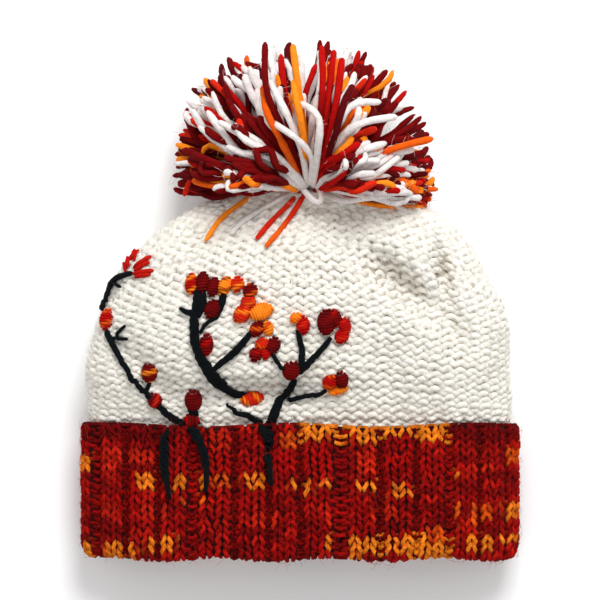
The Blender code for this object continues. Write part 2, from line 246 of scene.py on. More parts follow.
def half_section(section, front):
    """Close points along one half of a section, from the right side to the left."""
    angle = np.linspace(0, math.pi, SECTION_STEPS)
    cosine, sine = np.cos(angle), np.sin(angle)
    side = np.where(cosine > 0, section["right"], section["left"])
    x = side * np.sign(cosine) * np.abs(cosine) ** section["square"]
    middle = section["under"] + WIDEST_LEVEL * (section["top"] - section["under"])
    softened = np.sqrt(sine**2 + ARCH_SOFTNESS**2) - ARCH_SOFTNESS
    softened /= math.sqrt(1 + ARCH_SOFTNESS**2) - ARCH_SOFTNESS
    if front:
        y = section["side_y"] + section["arch"] * softened
        z = middle + (section["top"] - middle) * sine
    else:
        y = np.full_like(x, section["side_y"])
        z = middle - (middle - section["under"]) * np.minimum(1, BACK_FLATTENING * sine)
    return np.stack([x, y, z], axis=1)


def even_points(path, shares):
    """The points at these shares of a path's length."""
    steps = np.linalg.norm(np.diff(path, axis=0), axis=1)
    along = np.concatenate([[0], np.cumsum(steps)])
    wanted = np.asarray(shares) * along[-1]
    return np.stack([np.interp(wanted, along, path[:, i]) for i in range(3)], axis=1)


def section_ring(section, turns):
    """Points of a section at these turns: the front from right to left, then the back."""
    front = turns < 0.5
    ring = np.empty((len(turns), 3))
    ring[front] = even_points(half_section(section, True), 2 * turns[front])
    ring[~front] = even_points(half_section(section, False)[::-1], 2 * turns[~front] - 1)
    return ring


def outward(ring):
    """Unit normals of a ring in its own XZ plane, pointing out."""
    ahead = np.roll(ring, -1, axis=0) - np.roll(ring, 1, axis=0)
    normal = np.stack([ahead[:, 2], np.zeros(len(ring)), -ahead[:, 0]], axis=1)
    return unit(normal)


# %% [markdown]
# ## The crown as a grid
#
# The rings of the loft, taken three to a knitted row, make a grid of points with a normal each. The dents
# press its front in, and the gathers pull its top into nine folds. Below the cuff's edge it runs on, tucked
# in and unseen.

# %% The crown's rings
ROWS = 46
ROW_PITCH = 4.4 * MM
TUCKED_ROWS = 3
FINE_TURNS = 324
FINE_PER_ROW = 3
# Shares of the crown's rise: the dents fade in above the cuff and out below the gathered top.
DENT_FADE_IN = 0.1
DENTS_END = 0.95
DENT_FADE_OUT = 0.25
GATHER_FADE_IN = 0.2
GATHER_FADE_OUT = 0.12


def dent_depth(x, y):
    """How far the front is pressed in at a place."""
    depth = np.zeros_like(x)
    for row in DENTS:
        dent = dict(zip(DENT_COLUMNS, row))
        dx = x - dent["across"] * CROWN_WIDTH
        dy = y - CUFF_EDGE_Y - dent["along"] * CROWN_LENGTH
        turn = math.radians(dent["turn"])
        along = (dx * math.cos(turn) + dy * math.sin(turn)) / (dent["length"] * CROWN_WIDTH)
        beside = (dy * math.cos(turn) - dx * math.sin(turn)) / (dent["width"] * CROWN_WIDTH)
        depth += dent["depth"] * CROWN_HEIGHT * np.exp(-0.5 * (along**2 + beside**2))
    return depth


def crown_ring(rise, turns):
    """The crown's outer surface at one rise. Below the cuff's edge it runs straight on."""
    below = min(rise, 0.0)
    rise = max(rise, 0.0)
    section = crown_section(rise)
    ring = section_ring(section, turns)
    cuff_ring = section_ring(CUFF_SECTION, turns)
    fitted = cuff_ring - outward(cuff_ring) * TUCK_INSET - section_ring(crown_section(0.0), turns)
    fitted[:, 1] = 0
    ring += fitted * max(0.0, 1 - rise / SECTIONS[0][0])
    middle = section["under"] + WIDEST_LEVEL * (section["top"] - section["under"])
    facing = np.clip((ring[:, 2] - middle) / max(section["top"] - middle, TINY), 0, 1)
    settled = np.clip(rise / DENT_FADE_IN, 0, 1) * np.clip((DENTS_END - rise) / DENT_FADE_OUT, 0, 1)
    ring[:, 2] -= dent_depth(ring[:, 0], ring[:, 1]) * facing**0.5 * settled
    gather = GATHER_DEPTH * np.clip((rise - GATHER_FROM) / GATHER_FADE_IN, 0, 1)
    gather *= np.clip((1 - rise) / GATHER_FADE_OUT, 0, 1)
    ring[:, 1] += gather * (np.cos(2 * math.pi * GATHERS * turns) - 1)
    ring[:, 1] += below * ROWS * ROW_PITCH
    return ring


def grid_normals(points):
    """Unit normals of a grid of rings, pointing out of the hat."""
    up = np.gradient(points, axis=0)
    round_it = np.roll(points, -1, axis=1) - np.roll(points, 1, axis=1)
    return unit(np.cross(up, round_it))


fine_turns = np.arange(FINE_TURNS) / FINE_TURNS
crown_rows = np.arange(-TUCKED_ROWS * FINE_PER_ROW, ROWS * FINE_PER_ROW - 1) / FINE_PER_ROW
crown_points = np.array([crown_ring(row / ROWS, fine_turns) for row in crown_rows])
crown_normals = grid_normals(crown_points)
print("crown grid", crown_points.shape, "widest", np.ptp(crown_points[:, :, 0]) / MM, "mm")

# %% [markdown]
# ## The cuff as a grid
#
# The brim is one ribbed band folded up once. Its knitting starts at the free edge, runs down the outside,
# turns round the fold, and runs up the inside into the crown. It could be two tubes, one in the other, but
# then no stitch would turn round the fold. So one coordinate runs along the cloth. The other counts
# stitches, because a rib's knit stitches spread and its purl stitch draws in: equal turns would look wrong.

# %% Cuff grid
RIB_REPEATS = 27
RIB_STITCHES = 3
PURL_SHARE = 0.50
RIB_RECESS = 3.4 * MM
EDGE_SETTLE = 12 * MM
CUFF_ROW_PITCH = 4.15 * MM
FINE_PER_STITCH = 4
PURL_PLACE = 2.5
GROOVE_WIDTH = 0.42
EDGE_RELIEF = 0.35
CORNER_SHARPNESS = 9
EDGE_WAVES = 5
EDGE_WAVE_START = 1.9
FOLD_WAVES = 8
# Widths of the rib repeats in millimetres, from the right over the front to the left, then round the back.
REPEAT_WIDTHS = (17, 17, 18, 17, 20, 24, 19, 17, 18.5, 24, 17.5, 18, 21.5, 19) + (19.5,) * 13
# Repeats whose purl stitch lies open, so that its bars show.
OPEN_PURLS = {5: 1.25, 2: 0.9, 12: 1.3, 9: 0.7}

stitch_widths = []
for repeat, width in enumerate(REPEAT_WIDTHS):
    purl = OPEN_PURLS.get(repeat, PURL_SHARE)
    stitch_widths += [width / (2 + purl), width / (2 + purl), width * purl / (2 + purl)]
stitch_edges = np.concatenate([[0], np.cumsum(stitch_widths)]) / sum(stitch_widths)
CUFF_STITCHES = RIB_REPEATS * RIB_STITCHES
cuff_stitch = np.arange(CUFF_STITCHES * FINE_PER_STITCH) / FINE_PER_STITCH
cuff_turns = np.interp(cuff_stitch, np.arange(CUFF_STITCHES + 1), stitch_edges)
from_purl = (cuff_stitch % RIB_STITCHES) - PURL_PLACE
recess = RIB_RECESS * np.exp(-0.5 * (from_purl / GROOVE_WIDTH) ** 2)

fold_radius = (CUFF_WALL + LAYER_GAP) / 2
outer_leg = CUFF_DEPTH - fold_radius
fold_leg = math.pi * fold_radius
inner_leg = INNER_LAYER_DEPTH - fold_radius
cloth_length = outer_leg + fold_leg + inner_leg
CUFF_ROWS = round(cloth_length / CUFF_ROW_PITCH)


# %% [markdown]
# ## The line of the cloth through the fold
#
# For each distance along the band this gives the middle of the cloth and the way its right side faces:
# outwards on the outer layer, downwards at the fold, inwards within. The ribs press in at the purl
# stitches, and the edge and the fold wave a little, as knitting does when it isn't pinned.

# %% The folded band
def cuff_line(along, base, normal):
    """Middle of the cloth and its right side's normal, for one distance along it from the free edge."""
    if along <= outer_leg:
        height, inset, out, down = CUFF_DEPTH - along, 0.0, 1.0, 0.0
    elif along <= outer_leg + fold_leg:
        angle = (along - outer_leg) / fold_radius
        height = fold_radius * (1 - math.sin(angle))
        inset = fold_radius * (1 - math.cos(angle))
        out, down = math.cos(angle), math.sin(angle)
    else:
        height = fold_radius + along - outer_leg - fold_leg
        inset, out, down = 2 * fold_radius, -1.0, 0.0
    inward = CUFF_WALL / 2 + inset + recess * min(1.0, EDGE_RELIEF + along / EDGE_SETTLE)
    line = base - normal * inward[:, None]
    line[:, 1] += height - CUFF_DEPTH
    pull = CORNER_PULL * max(0.0, 1 - height / (3 * CORNER_PULL)) ** 2
    line[:, 0] -= pull * (2 * line[:, 0] / CUFF_WIDTH) ** CORNER_SHARPNESS
    up = height / CUFF_DEPTH
    outer_share = 1.0 if inset == 0 or height < CUFF_DEPTH / 4 else 0.0
    wave = EDGE_WAVE * up * np.sin(EDGE_WAVES * math.pi * line[:, 0] / CUFF_WIDTH + EDGE_WAVE_START)
    wave += FOLD_WAVE * (1 - up) * np.sin(FOLD_WAVES * math.pi * line[:, 0] / CUFF_WIDTH)
    line[:, 1] += wave * outer_share
    facing = normal * out
    facing[:, 1] -= down
    return line, facing


cuff_base = section_ring(CUFF_SECTION, cuff_turns)
cuff_out = outward(cuff_base)
cuff_rows = np.arange(CUFF_ROWS * FINE_PER_ROW + 1) / FINE_PER_ROW
cuff_lines = [cuff_line(row * cloth_length / CUFF_ROWS, cuff_base, cuff_out) for row in cuff_rows]
cuff_points = np.array([line for line, facing in cuff_lines])
cuff_normals = np.array([facing for line, facing in cuff_lines])
print("cuff grid", cuff_points.shape, "rows of knitting", CUFF_ROWS)

# %% [markdown]
# ## Many yarns in one mesh
#
# A hat has thousands of stitches. They could be curve objects with a bevel, but so many would choke
# Blender. Here all yarns of a piece go into one mesh built from arrays: a ring of points round each point
# of each path, joined into tubes. Every point carries its dye as a colour attribute, and a UV map runs
# round and along the yarn, so that the plies can follow it.

# %% Tubes from paths
UV_ALONG = 10 * MM


def tube_points(paths, radii, normals, sides):
    """A ring of points round each point of each path."""
    tangent = unit(np.gradient(paths, axis=1))
    side = unit(np.cross(tangent, normals))
    upward = np.cross(side, tangent)
    angles = 2 * math.pi * np.arange(sides)[:, None] / sides
    spokes = upward[:, :, None] * np.cos(angles) + side[:, :, None] * np.sin(angles)
    return paths[:, :, None] + radii[:, :, None, None] * spokes


def tube_faces(paths, sides):
    """Corners, corner counts and UVs of the faces round the tubes and of the caps at their ends."""
    tubes, count, _ = paths.shape
    index = np.arange(tubes * count * sides).reshape(tubes, count, sides)
    first, second = index[:, :-1], index[:, 1:]
    quads = np.stack([first, np.roll(first, -1, axis=2), np.roll(second, -1, axis=2), second], axis=-1)
    caps = np.concatenate([index[:, 0, ::-1], index[:, -1]], axis=0)
    steps = np.linalg.norm(np.diff(paths, axis=1), axis=2)
    along = np.concatenate([np.zeros((tubes, 1)), np.cumsum(steps, axis=1)], axis=1) / UV_ALONG
    around = np.arange(sides) / sides
    u = np.stack([around, around + 1 / sides, around + 1 / sides, around], axis=-1)
    v = np.stack([along[:, :-1], along[:, :-1], along[:, 1:], along[:, 1:]], axis=-1)[:, :, None, :]
    u, v = np.broadcast_to(u, quads.shape), np.broadcast_to(v, quads.shape)
    uvs = np.stack([u, v], axis=-1).reshape(-1, 2)
    corners = np.concatenate([quads.reshape(-1), caps.reshape(-1)])
    counts = np.concatenate([np.full(quads.size // 4, 4), np.full(len(caps), sides)])
    return corners, counts, np.concatenate([uvs, np.zeros((caps.size, 2))])


def yarn_mesh(name, paths, radii, normals, dyes, sides=6):
    """One object of tubes. paths and normals are (tubes, points, 3), radii (tubes, points), dyes (.., 4)."""
    tubes, count, _ = paths.shape
    points = tube_points(paths, np.broadcast_to(radii, (tubes, count)), normals, sides)
    corners, counts, uvs = tube_faces(paths, sides)
    mesh = bpy.data.meshes.new(name)
    mesh.vertices.add(points.size // 3)
    mesh.vertices.foreach_set("co", points.reshape(-1).astype(np.float32))
    mesh.loops.add(len(corners))
    mesh.loops.foreach_set("vertex_index", corners.astype(np.int32))
    mesh.polygons.add(len(counts))
    starts = np.concatenate([[0], np.cumsum(counts)[:-1]])
    mesh.polygons.foreach_set("loop_start", starts.astype(np.int32))
    mesh.update(calc_edges=True)
    mesh.uv_layers.new(name="yarn").data.foreach_set("uv", uvs.reshape(-1).astype(np.float32))
    colours = np.broadcast_to(np.asarray(dyes, float), (tubes, count, 4))
    colours = np.repeat(colours.reshape(-1, 4), sides, axis=0)
    dye = mesh.color_attributes.new("dye", "FLOAT_COLOR", "POINT")
    dye.data.foreach_set("color", colours.reshape(-1).astype(np.float32))
    mesh.shade_smooth()
    obj = bpy.data.objects.new(name, mesh)
    bpy.context.scene.collection.objects.link(obj)
    print(name, "tubes", tubes, "triangles", int((counts - 2).sum()))
    return obj


# %% [markdown]
# ## Places on the cloth
#
# A stitch knows only its row and its place in that row. This turns such a pair into a point in space and
# the cloth's normal there, by blending the four nearest points of the grid. Nobody knits evenly, so a
# second helper gives each stitch a small random share of its own, blended so that the yarn stays smooth.

# %% Cloth coordinates
def on_grid(points, normals, row_share, turn_share):
    """Point and normal between a grid's places, by straight blending. Shares are in grid steps."""
    rows, turns = points.shape[:2]
    row_share = np.clip(row_share, 0, rows - 1.001)
    i = row_share.astype(int)
    j = np.floor(turn_share).astype(int)
    a = (row_share - i)[..., None]
    b = (turn_share - j)[..., None]
    j, k = j % turns, (j + 1) % turns
    found = []
    for grid in (points, normals):
        low = grid[i, j] * (1 - b) + grid[i, k] * b
        high = grid[i + 1, j] * (1 - b) + grid[i + 1, k] * b
        found.append(low * (1 - a) + high * a)
    return found[0], unit(found[1])


def uneven(size, knots, at):
    """Smooth unevenness along a row: random values at each stitch, blended between."""
    values = chance.normal(0, size, knots + 1)
    i = np.floor(at).astype(int) % knots
    share = at - np.floor(at)
    return values[i] * (1 - share) + values[(i + 1) % knots] * share


# %% [markdown]
# ## Knitting
#
# Knitting is one yarn drawn through itself. Each stitch of a row is an omega: feet below, a head above, two
# legs between. Heads and feet lie on one side of the cloth and make the bumps of purl; legs lie on the
# other and make the Vs of knit. A picture of knitting with a bump map would be lighter, but it goes flat at
# the outline and in a close view. So the yarn itself is drawn, by three waves: a sway along the row, a
# climb across it, and a dive through the cloth. The crown shows its purl side. The cuff mixes both, and
# hangs upside down because it is folded up, so its Vs point the other way.

# %% The path of one row
CROWN_STITCH = 6.4 * MM
CROWN_SEAT = 1.9 * MM
HEAD_PROUD = 0.2 * MM
# How a yarn moves in its stitch: sway in stitches, climb in rows, dive and the yarn's radius in metres.
LOOSE_PURL = {"sway": 0.19, "climb": 0.78, "dive": 1.0 * MM, "yarn": 1.82 * MM}
TALL_RIB = {"sway": 0.25, "climb": 0.86, "dive": 1.1 * MM, "yarn": 1.28 * MM}
UNEVEN_SWAY = 0.07
UNEVEN_CLIMB = 0.09
UNEVEN_DIVE = 0.25 * MM


def row_path(stitches, per_stitch, half):
    """Stitch position and phase of a row's points, over the front half, the back half or the whole row."""
    start, end = {"front": (0, stitches / 2), "back": (stitches / 2, stitches), "all": (0, stitches)}[half]
    count = round((end - start) * per_stitch)
    at = start + (end - start) * np.arange(count + (half != "all")) / count
    return at, 2 * math.pi * at


def knit_row(at, phase, row, knitted, stitch):
    """Where the yarn runs: stitches along, rows up, out of the cloth. knitted is 1 for knit, -1 for purl."""
    along = at + stitch["sway"] * np.sin(2 * phase) + uneven(UNEVEN_SWAY, len(at), at)
    climb = row + 0.5 - stitch["climb"] * np.cos(phase) + uneven(UNEVEN_CLIMB, len(at), at)
    out = -knitted * stitch["dive"] * np.cos(2 * phase) + uneven(UNEVEN_DIVE, len(at), at)
    out -= np.clip(-knitted, 0, 1) * HEAD_PROUD * np.cos(phase)
    return along, climb, out


def painted_dive_shade(out, stitch, least):
    """Painted shade: the factor that darkens the dye where the yarn dives between its neighbours, from 1
    down to least.
    """
    return 1 - (1 - least) * np.clip(0.5 - 0.5 * out / stitch["dive"], 0, 1)


# %% [markdown]
# ## Stitches of the crown
#
# A hat narrows because the knitter drops stitches, so each row gets the number of stitches that fits round
# it, in steps of nine, one for each gather. Rows hang lower at the sides than in the middle, as the hat is
# a tube pressed flat. Where the yarn dives between its neighbours it lies in shade, and painted shade in the
# dye stands for that.

# %% Stitches in each row
perimeters = [
    np.linalg.norm(np.diff(ring, axis=0), axis=1).sum()
    for ring in crown_points[TUCKED_ROWS * FINE_PER_ROW + 1 :: FINE_PER_ROW]
]
row_counts = []
for row in range(-TUCKED_ROWS, ROWS - 1):
    wanted = GATHERS * max(1, round(perimeters[max(row, 0)] / CROWN_STITCH / GATHERS))
    row_counts.append(min([wanted] + row_counts[-1:]))
print("stitches round the crown", row_counts[0], "at the cuff,", row_counts[-1], "at the top")

# %% [markdown]
# ## The crown's yarn, row by row
#
# Every row is its own path. Rows of equal length share a mesh, and the meshes are joined at the end, which
# is far quicker than one object a row. The unevenness of hand knitting comes from three slow waves that
# never line up. The rows under the cuff lie a little deeper, so that none pokes through it.

# %% Rows of the crown
ROW_SAG = 3.4
SAG_FULLNESS = 0.8
TUCKED_SLACK = 1.2 * MM
# The least brightness that painted shade leaves where the crown's yarn dives.
CROWN_PAINTED_SHADE = 0.8
LUMP_HEIGHT = 0.3 * MM
# Waves of unevenness: how fast each runs along a row and up the rows, and where it starts.
LUMP_WAVES = ((0.83, 0.41, 0), (0.37, -0.77, 1), (1.9, 1.31, 2))


def sag(row, turn):
    """How many rows lower a row hangs at the sides than in the middle of the front and back."""
    up_the_crown = np.sin(math.pi * np.clip(row / ROWS, 0, 1)) ** SAG_FULLNESS
    return ROW_SAG * up_the_crown * np.cos(2 * math.pi * turn) ** 2


def lumps(row, at):
    """Slow unevenness of hand knitting: waves that never line up."""
    return LUMP_HEIGHT * sum(np.sin(along * at + up * row + start) for along, up, start in LUMP_WAVES)


def crown_yarn(name, half, per_stitch, sides):
    """All rows of one half of the crown, purl side out."""
    made = []
    for row, stitches in zip(range(-TUCKED_ROWS, ROWS - 1), row_counts):
        at, phase = row_path(stitches, per_stitch, half)
        along, climb, out = knit_row(at, phase, row, -1, LOOSE_PURL)
        turn = along / stitches
        rows_at = (climb - sag(climb, turn) + TUCKED_ROWS) * FINE_PER_ROW
        point, normal = on_grid(crown_points, crown_normals, rows_at, turn * FINE_TURNS)
        # Painted shade: the cream dye is darkened where the yarn dives between its neighbours.
        dye = np.array(DYES["cream"]) * painted_dive_shade(out, LOOSE_PURL, CROWN_PAINTED_SHADE)[:, None]
        out = out + (lumps(row, along) if row >= 0 else -TUCKED_SLACK)
        made.append((point + normal * (out - CROWN_SEAT)[:, None], normal, dye))
    return join_rows(name, made, LOOSE_PURL["yarn"], sides)


def join_rows(name, rows, radius, sides):
    """Rows of unlike length as one object, joined from one mesh for each length. None is below the table."""
    groups = {}
    for path, normal, dye in rows:
        path[:, 2] = np.maximum(path[:, 2], radius)
        groups.setdefault(len(path), []).append((path, normal, dye))
    objects = []
    for length in sorted(groups):
        paths, normals, dyes = (np.array(part) for part in zip(*groups[length]))
        objects.append(yarn_mesh(name, paths, radius, normals, dyes, sides))
    main = objects[-1]
    if len(objects) > 1:
        with bpy.context.temp_override(active_object=main, selected_editable_objects=objects):
            bpy.ops.object.join()
    main.name = name
    main.data.name = name
    return main


crown_front = crown_yarn("crown_stitches_front", "front", per_stitch=10, sides=6)
crown_back = crown_yarn("crown_stitches_back", "back", per_stitch=8, sides=5)

# %% [markdown]
# ## Dye runs on the cuff
#
# The cuff's yarn is dyed in stretches, so orange shows as short runs along a row. Chance alone could place
# them, but the bright strip at the top edge and the row of marks across the middle are what one remembers
# of this cuff. So the runs on the front are charted from the photograph as boxes in its pixels, and the
# back and the inside get runs of much the same length by chance.

# %% Chart of the dye
DYE_COLUMNS = ("left", "right", "top", "bottom", "dye")
DYE_CHART = (
    (298, 448, 414, 437, "orange"),
    (353, 377, 431, 441, "orange"),
    (281, 300, 433, 446, "deep orange"),
    (137, 164, 472, 489, "orange"),
    (177, 205, 474, 488, "orange"),
    (211, 237, 474, 484, "deep orange"),
    (243, 270, 474, 488, "orange"),
    (289, 313, 475, 490, "orange"),
    (321, 347, 476, 489, "orange"),
    (355, 380, 480, 491, "orange"),
    (388, 416, 484, 494, "orange"),
    (83, 94, 456, 469, "orange"),
    (181, 208, 495, 506, "deep orange"),
    (145, 167, 501, 522, "light red"),
    (353, 377, 446, 470, "light red"),
    (322, 347, 505, 522, "light red"),
    (450, 456, 468, 478, "orange"),
    (447, 459, 500, 516, "deep orange"),
    (468, 491, 506, 522, "deep orange"),
    (501, 519, 500, 521, "orange"),
    (503, 518, 452, 461, "deep orange"),
    (86, 97, 540, 552, "orange"),
    (107, 139, 538, 557, "orange"),
    (148, 177, 537, 551, "orange"),
    (327, 348, 535, 549, "orange"),
    (350, 453, 536, 553, "orange"),
    (428, 455, 526, 543, "deep orange"),
    (464, 490, 532, 551, "orange"),
    (497, 516, 533, 542, "orange"),
    (281, 300, 446, 470, "red"),
    (300, 345, 436, 470, "red"),
    (212, 240, 446, 470, "red"),
    (385, 412, 436, 468, "red"),
    (140, 165, 436, 468, "dark red"),
    (80, 175, 422, 440, "dark red"),
    (450, 520, 424, 440, "dark red"),
    (105, 160, 449, 466, "light red"),
    (210, 241, 429, 446, "light red"),
    (254, 278, 513, 526, "light red"),
    (467, 493, 461, 473, "light red"),
    (94, 120, 499, 513, "light red"),
    (370, 398, 505, 520, "light red"),
)
print("charted runs of dye", len(DYE_CHART))


# %% [markdown]
# ## How a dye runs along the yarn
#
# Hand-dyed yarn drifts between a dark and a full red and flecks brighter here and there; on the knit
# stitches the bright flecks are partly a painted highlight. Slow random values along each row give the
# drift. The charted runs are laid over it on the legs of the knit stitches, because the heads behind them
# hardly show. Where a purl stitch draws in, painted shade darkens the groove.

# %% Dye along a row
SOFTENING = (0.25, 0.5, 0.25)


def soften(colour):
    """Neighbouring colours along a yarn run into each other."""
    wide = np.vstack([colour[:1], colour, colour[-1:]])
    before, own, after = SOFTENING
    return wide[:-2] * before + wide[1:-1] * own + wide[2:] * after


def run_noise(count, length):
    """Slow random values along a yarn, from 0 to 1."""
    knots = chance.random(max(4, count // length) + 2)
    at = np.linspace(0, len(knots) - 1.001, count)
    i = at.astype(int)
    return knots[i] * (1 - at + i) + knots[i + 1] * (at - i)


# Lengths of the runs in stitches. The dye's shade leans to the dark side, and bright flecks begin above a
# level; on the knit stitches they are partly a painted highlight.
SHADE_RUN = 3
SHADE_LEAN = 1.2
FLECK_RUN = 1
FLECK_SLOPE = 3
FLECK_LEVEL = 1.6
FLECK_STRENGTH = 0.85
FLECK_AND_HIGHLIGHT_IN_PURL = 0.2
UNCHARTED_RUN = 4
UNCHARTED_LEVEL = 0.78
# Runs wider than this, in pixels, cover the grooves too, and there they take off most of the painted groove
# shade.
WIDE_RUN = 60
WIDE_RUN_SHADE_TAKEN_OFF = 0.7
# The brightness that painted shade leaves in a narrow purl groove.
PAINTED_GROOVE_LEVEL = 0.45
# The least brightness that painted shade leaves where the cuff's yarn dives.
CUFF_PAINTED_SHADE = 0.35


def cuff_dye(point, knitted, legs, narrow_purl, per_stitch, charted):
    """Linear colours along one row of the cuff, with painted shade in the narrow purl grooves. Short runs
    show on the legs of the knit stitches only.
    """
    shade = run_noise(len(point), SHADE_RUN * per_stitch) ** SHADE_LEAN
    colour = blend(DYES["dark red"], DYES["red"], shade)
    # Bright red flecks: partly the yarn's dye, partly a painted highlight, full on knit stitches and weak on
    # purl.
    fleck_and_highlight = np.clip(run_noise(len(point), FLECK_RUN * per_stitch) * FLECK_SLOPE - FLECK_LEVEL, 0, 1)
    colour = blend(colour, DYES["bright red"], fleck_and_highlight * FLECK_STRENGTH * np.clip(knitted, FLECK_AND_HIGHLIGHT_IN_PURL, 1))
    if not charted:
        run = run_noise(len(point), UNCHARTED_RUN * per_stitch) > UNCHARTED_LEVEL
        colour[run] = DYES["orange"]
        return soften(colour)
    # Painted shade darkens the narrow purl grooves, where the yarn draws in.
    painted_groove_shade = np.clip(-knitted, 0, 1) * narrow_purl * (1 - PAINTED_GROOVE_LEVEL)
    for entry in DYE_CHART:
        run = dict(zip(DYE_COLUMNS, entry))
        left, top = photo_place(run["left"], run["top"])
        right, bottom = photo_place(run["right"], run["bottom"])
        inside = (point[:, 0] > left) & (point[:, 0] < right) & (point[:, 1] > bottom) & (point[:, 1] < top)
        share = inside.astype(float)
        if run["right"] - run["left"] < WIDE_RUN:
            share *= legs
        else:
            # Wide runs take off most of the painted groove shade.
            painted_groove_shade *= 1 - WIDE_RUN_SHADE_TAKEN_OFF * share
        colour = blend(colour, DYES[run["dye"]], share)
    return soften(colour * (1 - painted_groove_shade[:, None]))


# %% [markdown]
# ## Stitches of the cuff
#
# Two knit stitches and one purl, over and over, make a rib that springs in and hugs the head. The same
# three waves draw it, with the dive turned round for the purl stitch. The outer layer is knitted in two
# halves, so the front can be finer than the back, and the inner layer is coarser still, because it only
# shows through the mouth.

# %% Rows of the cuff
# One rib: 1 for a knit stitch, -1 for a purl stitch.
RIB_KINDS = np.array([1.0, 1.0, -1.0])
KIND_CHANGE = 3
# Charted dye lies on the legs, from a little behind the cloth's middle.
LEG_START = 0.55
LEG_SLOPE = 0.9


def cuff_yarn(name, half, rows, per_stitch, sides, charted):
    """Some rows of the cuff, counted from its free edge."""
    made = []
    for row in rows:
        at, phase = row_path(CUFF_STITCHES, per_stitch, half)
        beside = at - 0.5
        low = np.floor(beside).astype(int)
        share = np.clip((beside - low - 0.5) * KIND_CHANGE + 0.5, 0, 1)
        knitted = RIB_KINDS[low % RIB_STITCHES] * (1 - share) + RIB_KINDS[(low + 1) % RIB_STITCHES] * share
        along, climb, out = knit_row(at, phase, row, knitted, TALL_RIB)
        point, normal = on_grid(cuff_points, cuff_normals, climb * FINE_PER_ROW, along * FINE_PER_STITCH)
        row_middle = np.full(len(at), (row + 0.5) * FINE_PER_ROW)
        middle, _ = on_grid(cuff_points, cuff_normals, row_middle, at * FINE_PER_STITCH)
        narrow_purl = np.array([repeat not in OPEN_PURLS for repeat in at // RIB_STITCHES], float)
        legs = np.clip(LEG_START + LEG_SLOPE * out / TALL_RIB["dive"], 0, 1) * (knitted > 0)
        dye = cuff_dye(middle, knitted, legs, narrow_purl, per_stitch, charted)
        # Painted shade: the dye is darkened where the yarn dives between its neighbours.
        dye *= painted_dive_shade(out, TALL_RIB, CUFF_PAINTED_SHADE)[:, None]
        made.append((point + normal * out[:, None], normal, dye))
    return join_rows(name, made, TALL_RIB["yarn"], sides)


fold_row = math.ceil((outer_leg + fold_leg / 2) / cloth_length * CUFF_ROWS)
outer_rows, inner_rows = range(fold_row), range(fold_row, CUFF_ROWS)
cuff_front = cuff_yarn("cuff_stitches_front", "front", outer_rows, per_stitch=10, sides=6, charted=True)
cuff_back = cuff_yarn("cuff_stitches_back", "back", outer_rows, per_stitch=8, sides=5, charted=False)
cuff_inside = cuff_yarn("cuff_stitches_inside", "all", inner_rows, per_stitch=7, sides=5, charted=False)

# %% [markdown]
# ## Wool between the stitches
#
# Real knitting is felted a little and stuffed with its own loose hair, so no light shows through. More
# hairs could fill the gaps at a high price. A thin skin in the middle of the cloth stands for them instead.
# It is a loft of the same grids with a Solidify modifier. Its wool is darker than the yarn, as painted
# shade for the deep gaps between the stitches.

# %% Cores of the cloth
CORE_THICKNESS = 0.8 * MM


def cloth_core(name, points, close_top):
    """A thin skin through a grid's points, closed at the top where the knitting is gathered."""
    work = bmesh.new()
    rows, turns = points.shape[:2]
    verts = [[work.verts.new(p) for p in ring] for ring in points]
    for low, high in zip(verts, verts[1:]):
        for i in range(turns):
            j = (i + 1) % turns
            work.faces.new((low[i], high[i], high[j], low[j]))
    if close_top:
        work.faces.new(verts[-1][::-1])
    mesh = bpy.data.meshes.new(name)
    bmesh.ops.recalc_face_normals(work, faces=work.faces)
    work.to_mesh(mesh)
    work.free()
    mesh.shade_smooth()
    obj = bpy.data.objects.new(name, mesh)
    bpy.context.scene.collection.objects.link(obj)
    wall = obj.modifiers.new("hair", "SOLIDIFY")
    wall.thickness = CORE_THICKNESS
    wall.offset = 0
    print(name, "faces", len(mesh.polygons))
    return obj


crown_middle = (crown_points - crown_normals * CROWN_SEAT)[::2, ::3]
crown_core = cloth_core("crown_core", crown_middle, True)
cuff_core = cloth_core("cuff_core", cuff_points[::2, ::2], False)

# %% [markdown]
# ## Finding the cloth under the needle
#
# Embroidery goes on top of the knitting, which rises and falls. Its height could be worked out from the
# grids, but a photograph gives places seen from above, and a ray dropped from above answers just that
# question. It finds the cloth below a place, and the stitch is lifted from there by the thickness of the
# knitting.

# %% Rays onto the cloth
KNIT_PROUD = LOOSE_PURL["dive"] + LOOSE_PURL["yarn"]
NEEDLE_HEIGHT = 0.3
LEVEL_BESIDE_HAT = 0.02


def skin_tree(points):
    """A grid of points as a surface that rays can hit."""
    rows, turns = points.shape[:2]
    flat = points.reshape(-1, 3)
    quads = [
        (i * turns + j, i * turns + (j + 1) % turns, (i + 1) * turns + (j + 1) % turns, (i + 1) * turns + j)
        for i in range(rows - 1)
        for j in range(turns)
    ]
    return BVHTree.FromPolygons(flat.tolist(), quads)


outer_layer = cuff_points[: (fold_row - 1) * FINE_PER_ROW : 2, ::2]
trees = (skin_tree(crown_middle), skin_tree(outer_layer))


def on_cloth(x, y, lift=0.0):
    """The point this far above the knitting, straight below a place, and the cloth's normal there."""
    best = None
    for tree in trees:
        spot, normal, _, _ = tree.ray_cast(Vector((x, y, NEEDLE_HEIGHT)), Vector((0, 0, -1)))
        if spot is not None and (best is None or spot.z > best[0].z):
            best = (spot, normal if normal.z > 0 else -normal)
    if best is None:
        best = (Vector((x, y, LEVEL_BESIDE_HAT)), Vector((0, 0, 1)))
    spot, normal = best
    return np.array(spot + normal * (KNIT_PROUD + lift)), np.array(normal)
print("the knitting's top at the middle is", round(on_cloth(0, 0)[0][2] / MM), "mm up")

# %% [markdown]
# ## Embroidered stems
#
# The twigs are worked in stem stitch with black wool: short slanting stitches, each starting near the
# middle of the last. A plain tube along the stem would look like wire. Stitches that overlap read as a
# rope, as they do on the hat. Each stem is a row of places and its width at both ends, in pixels.

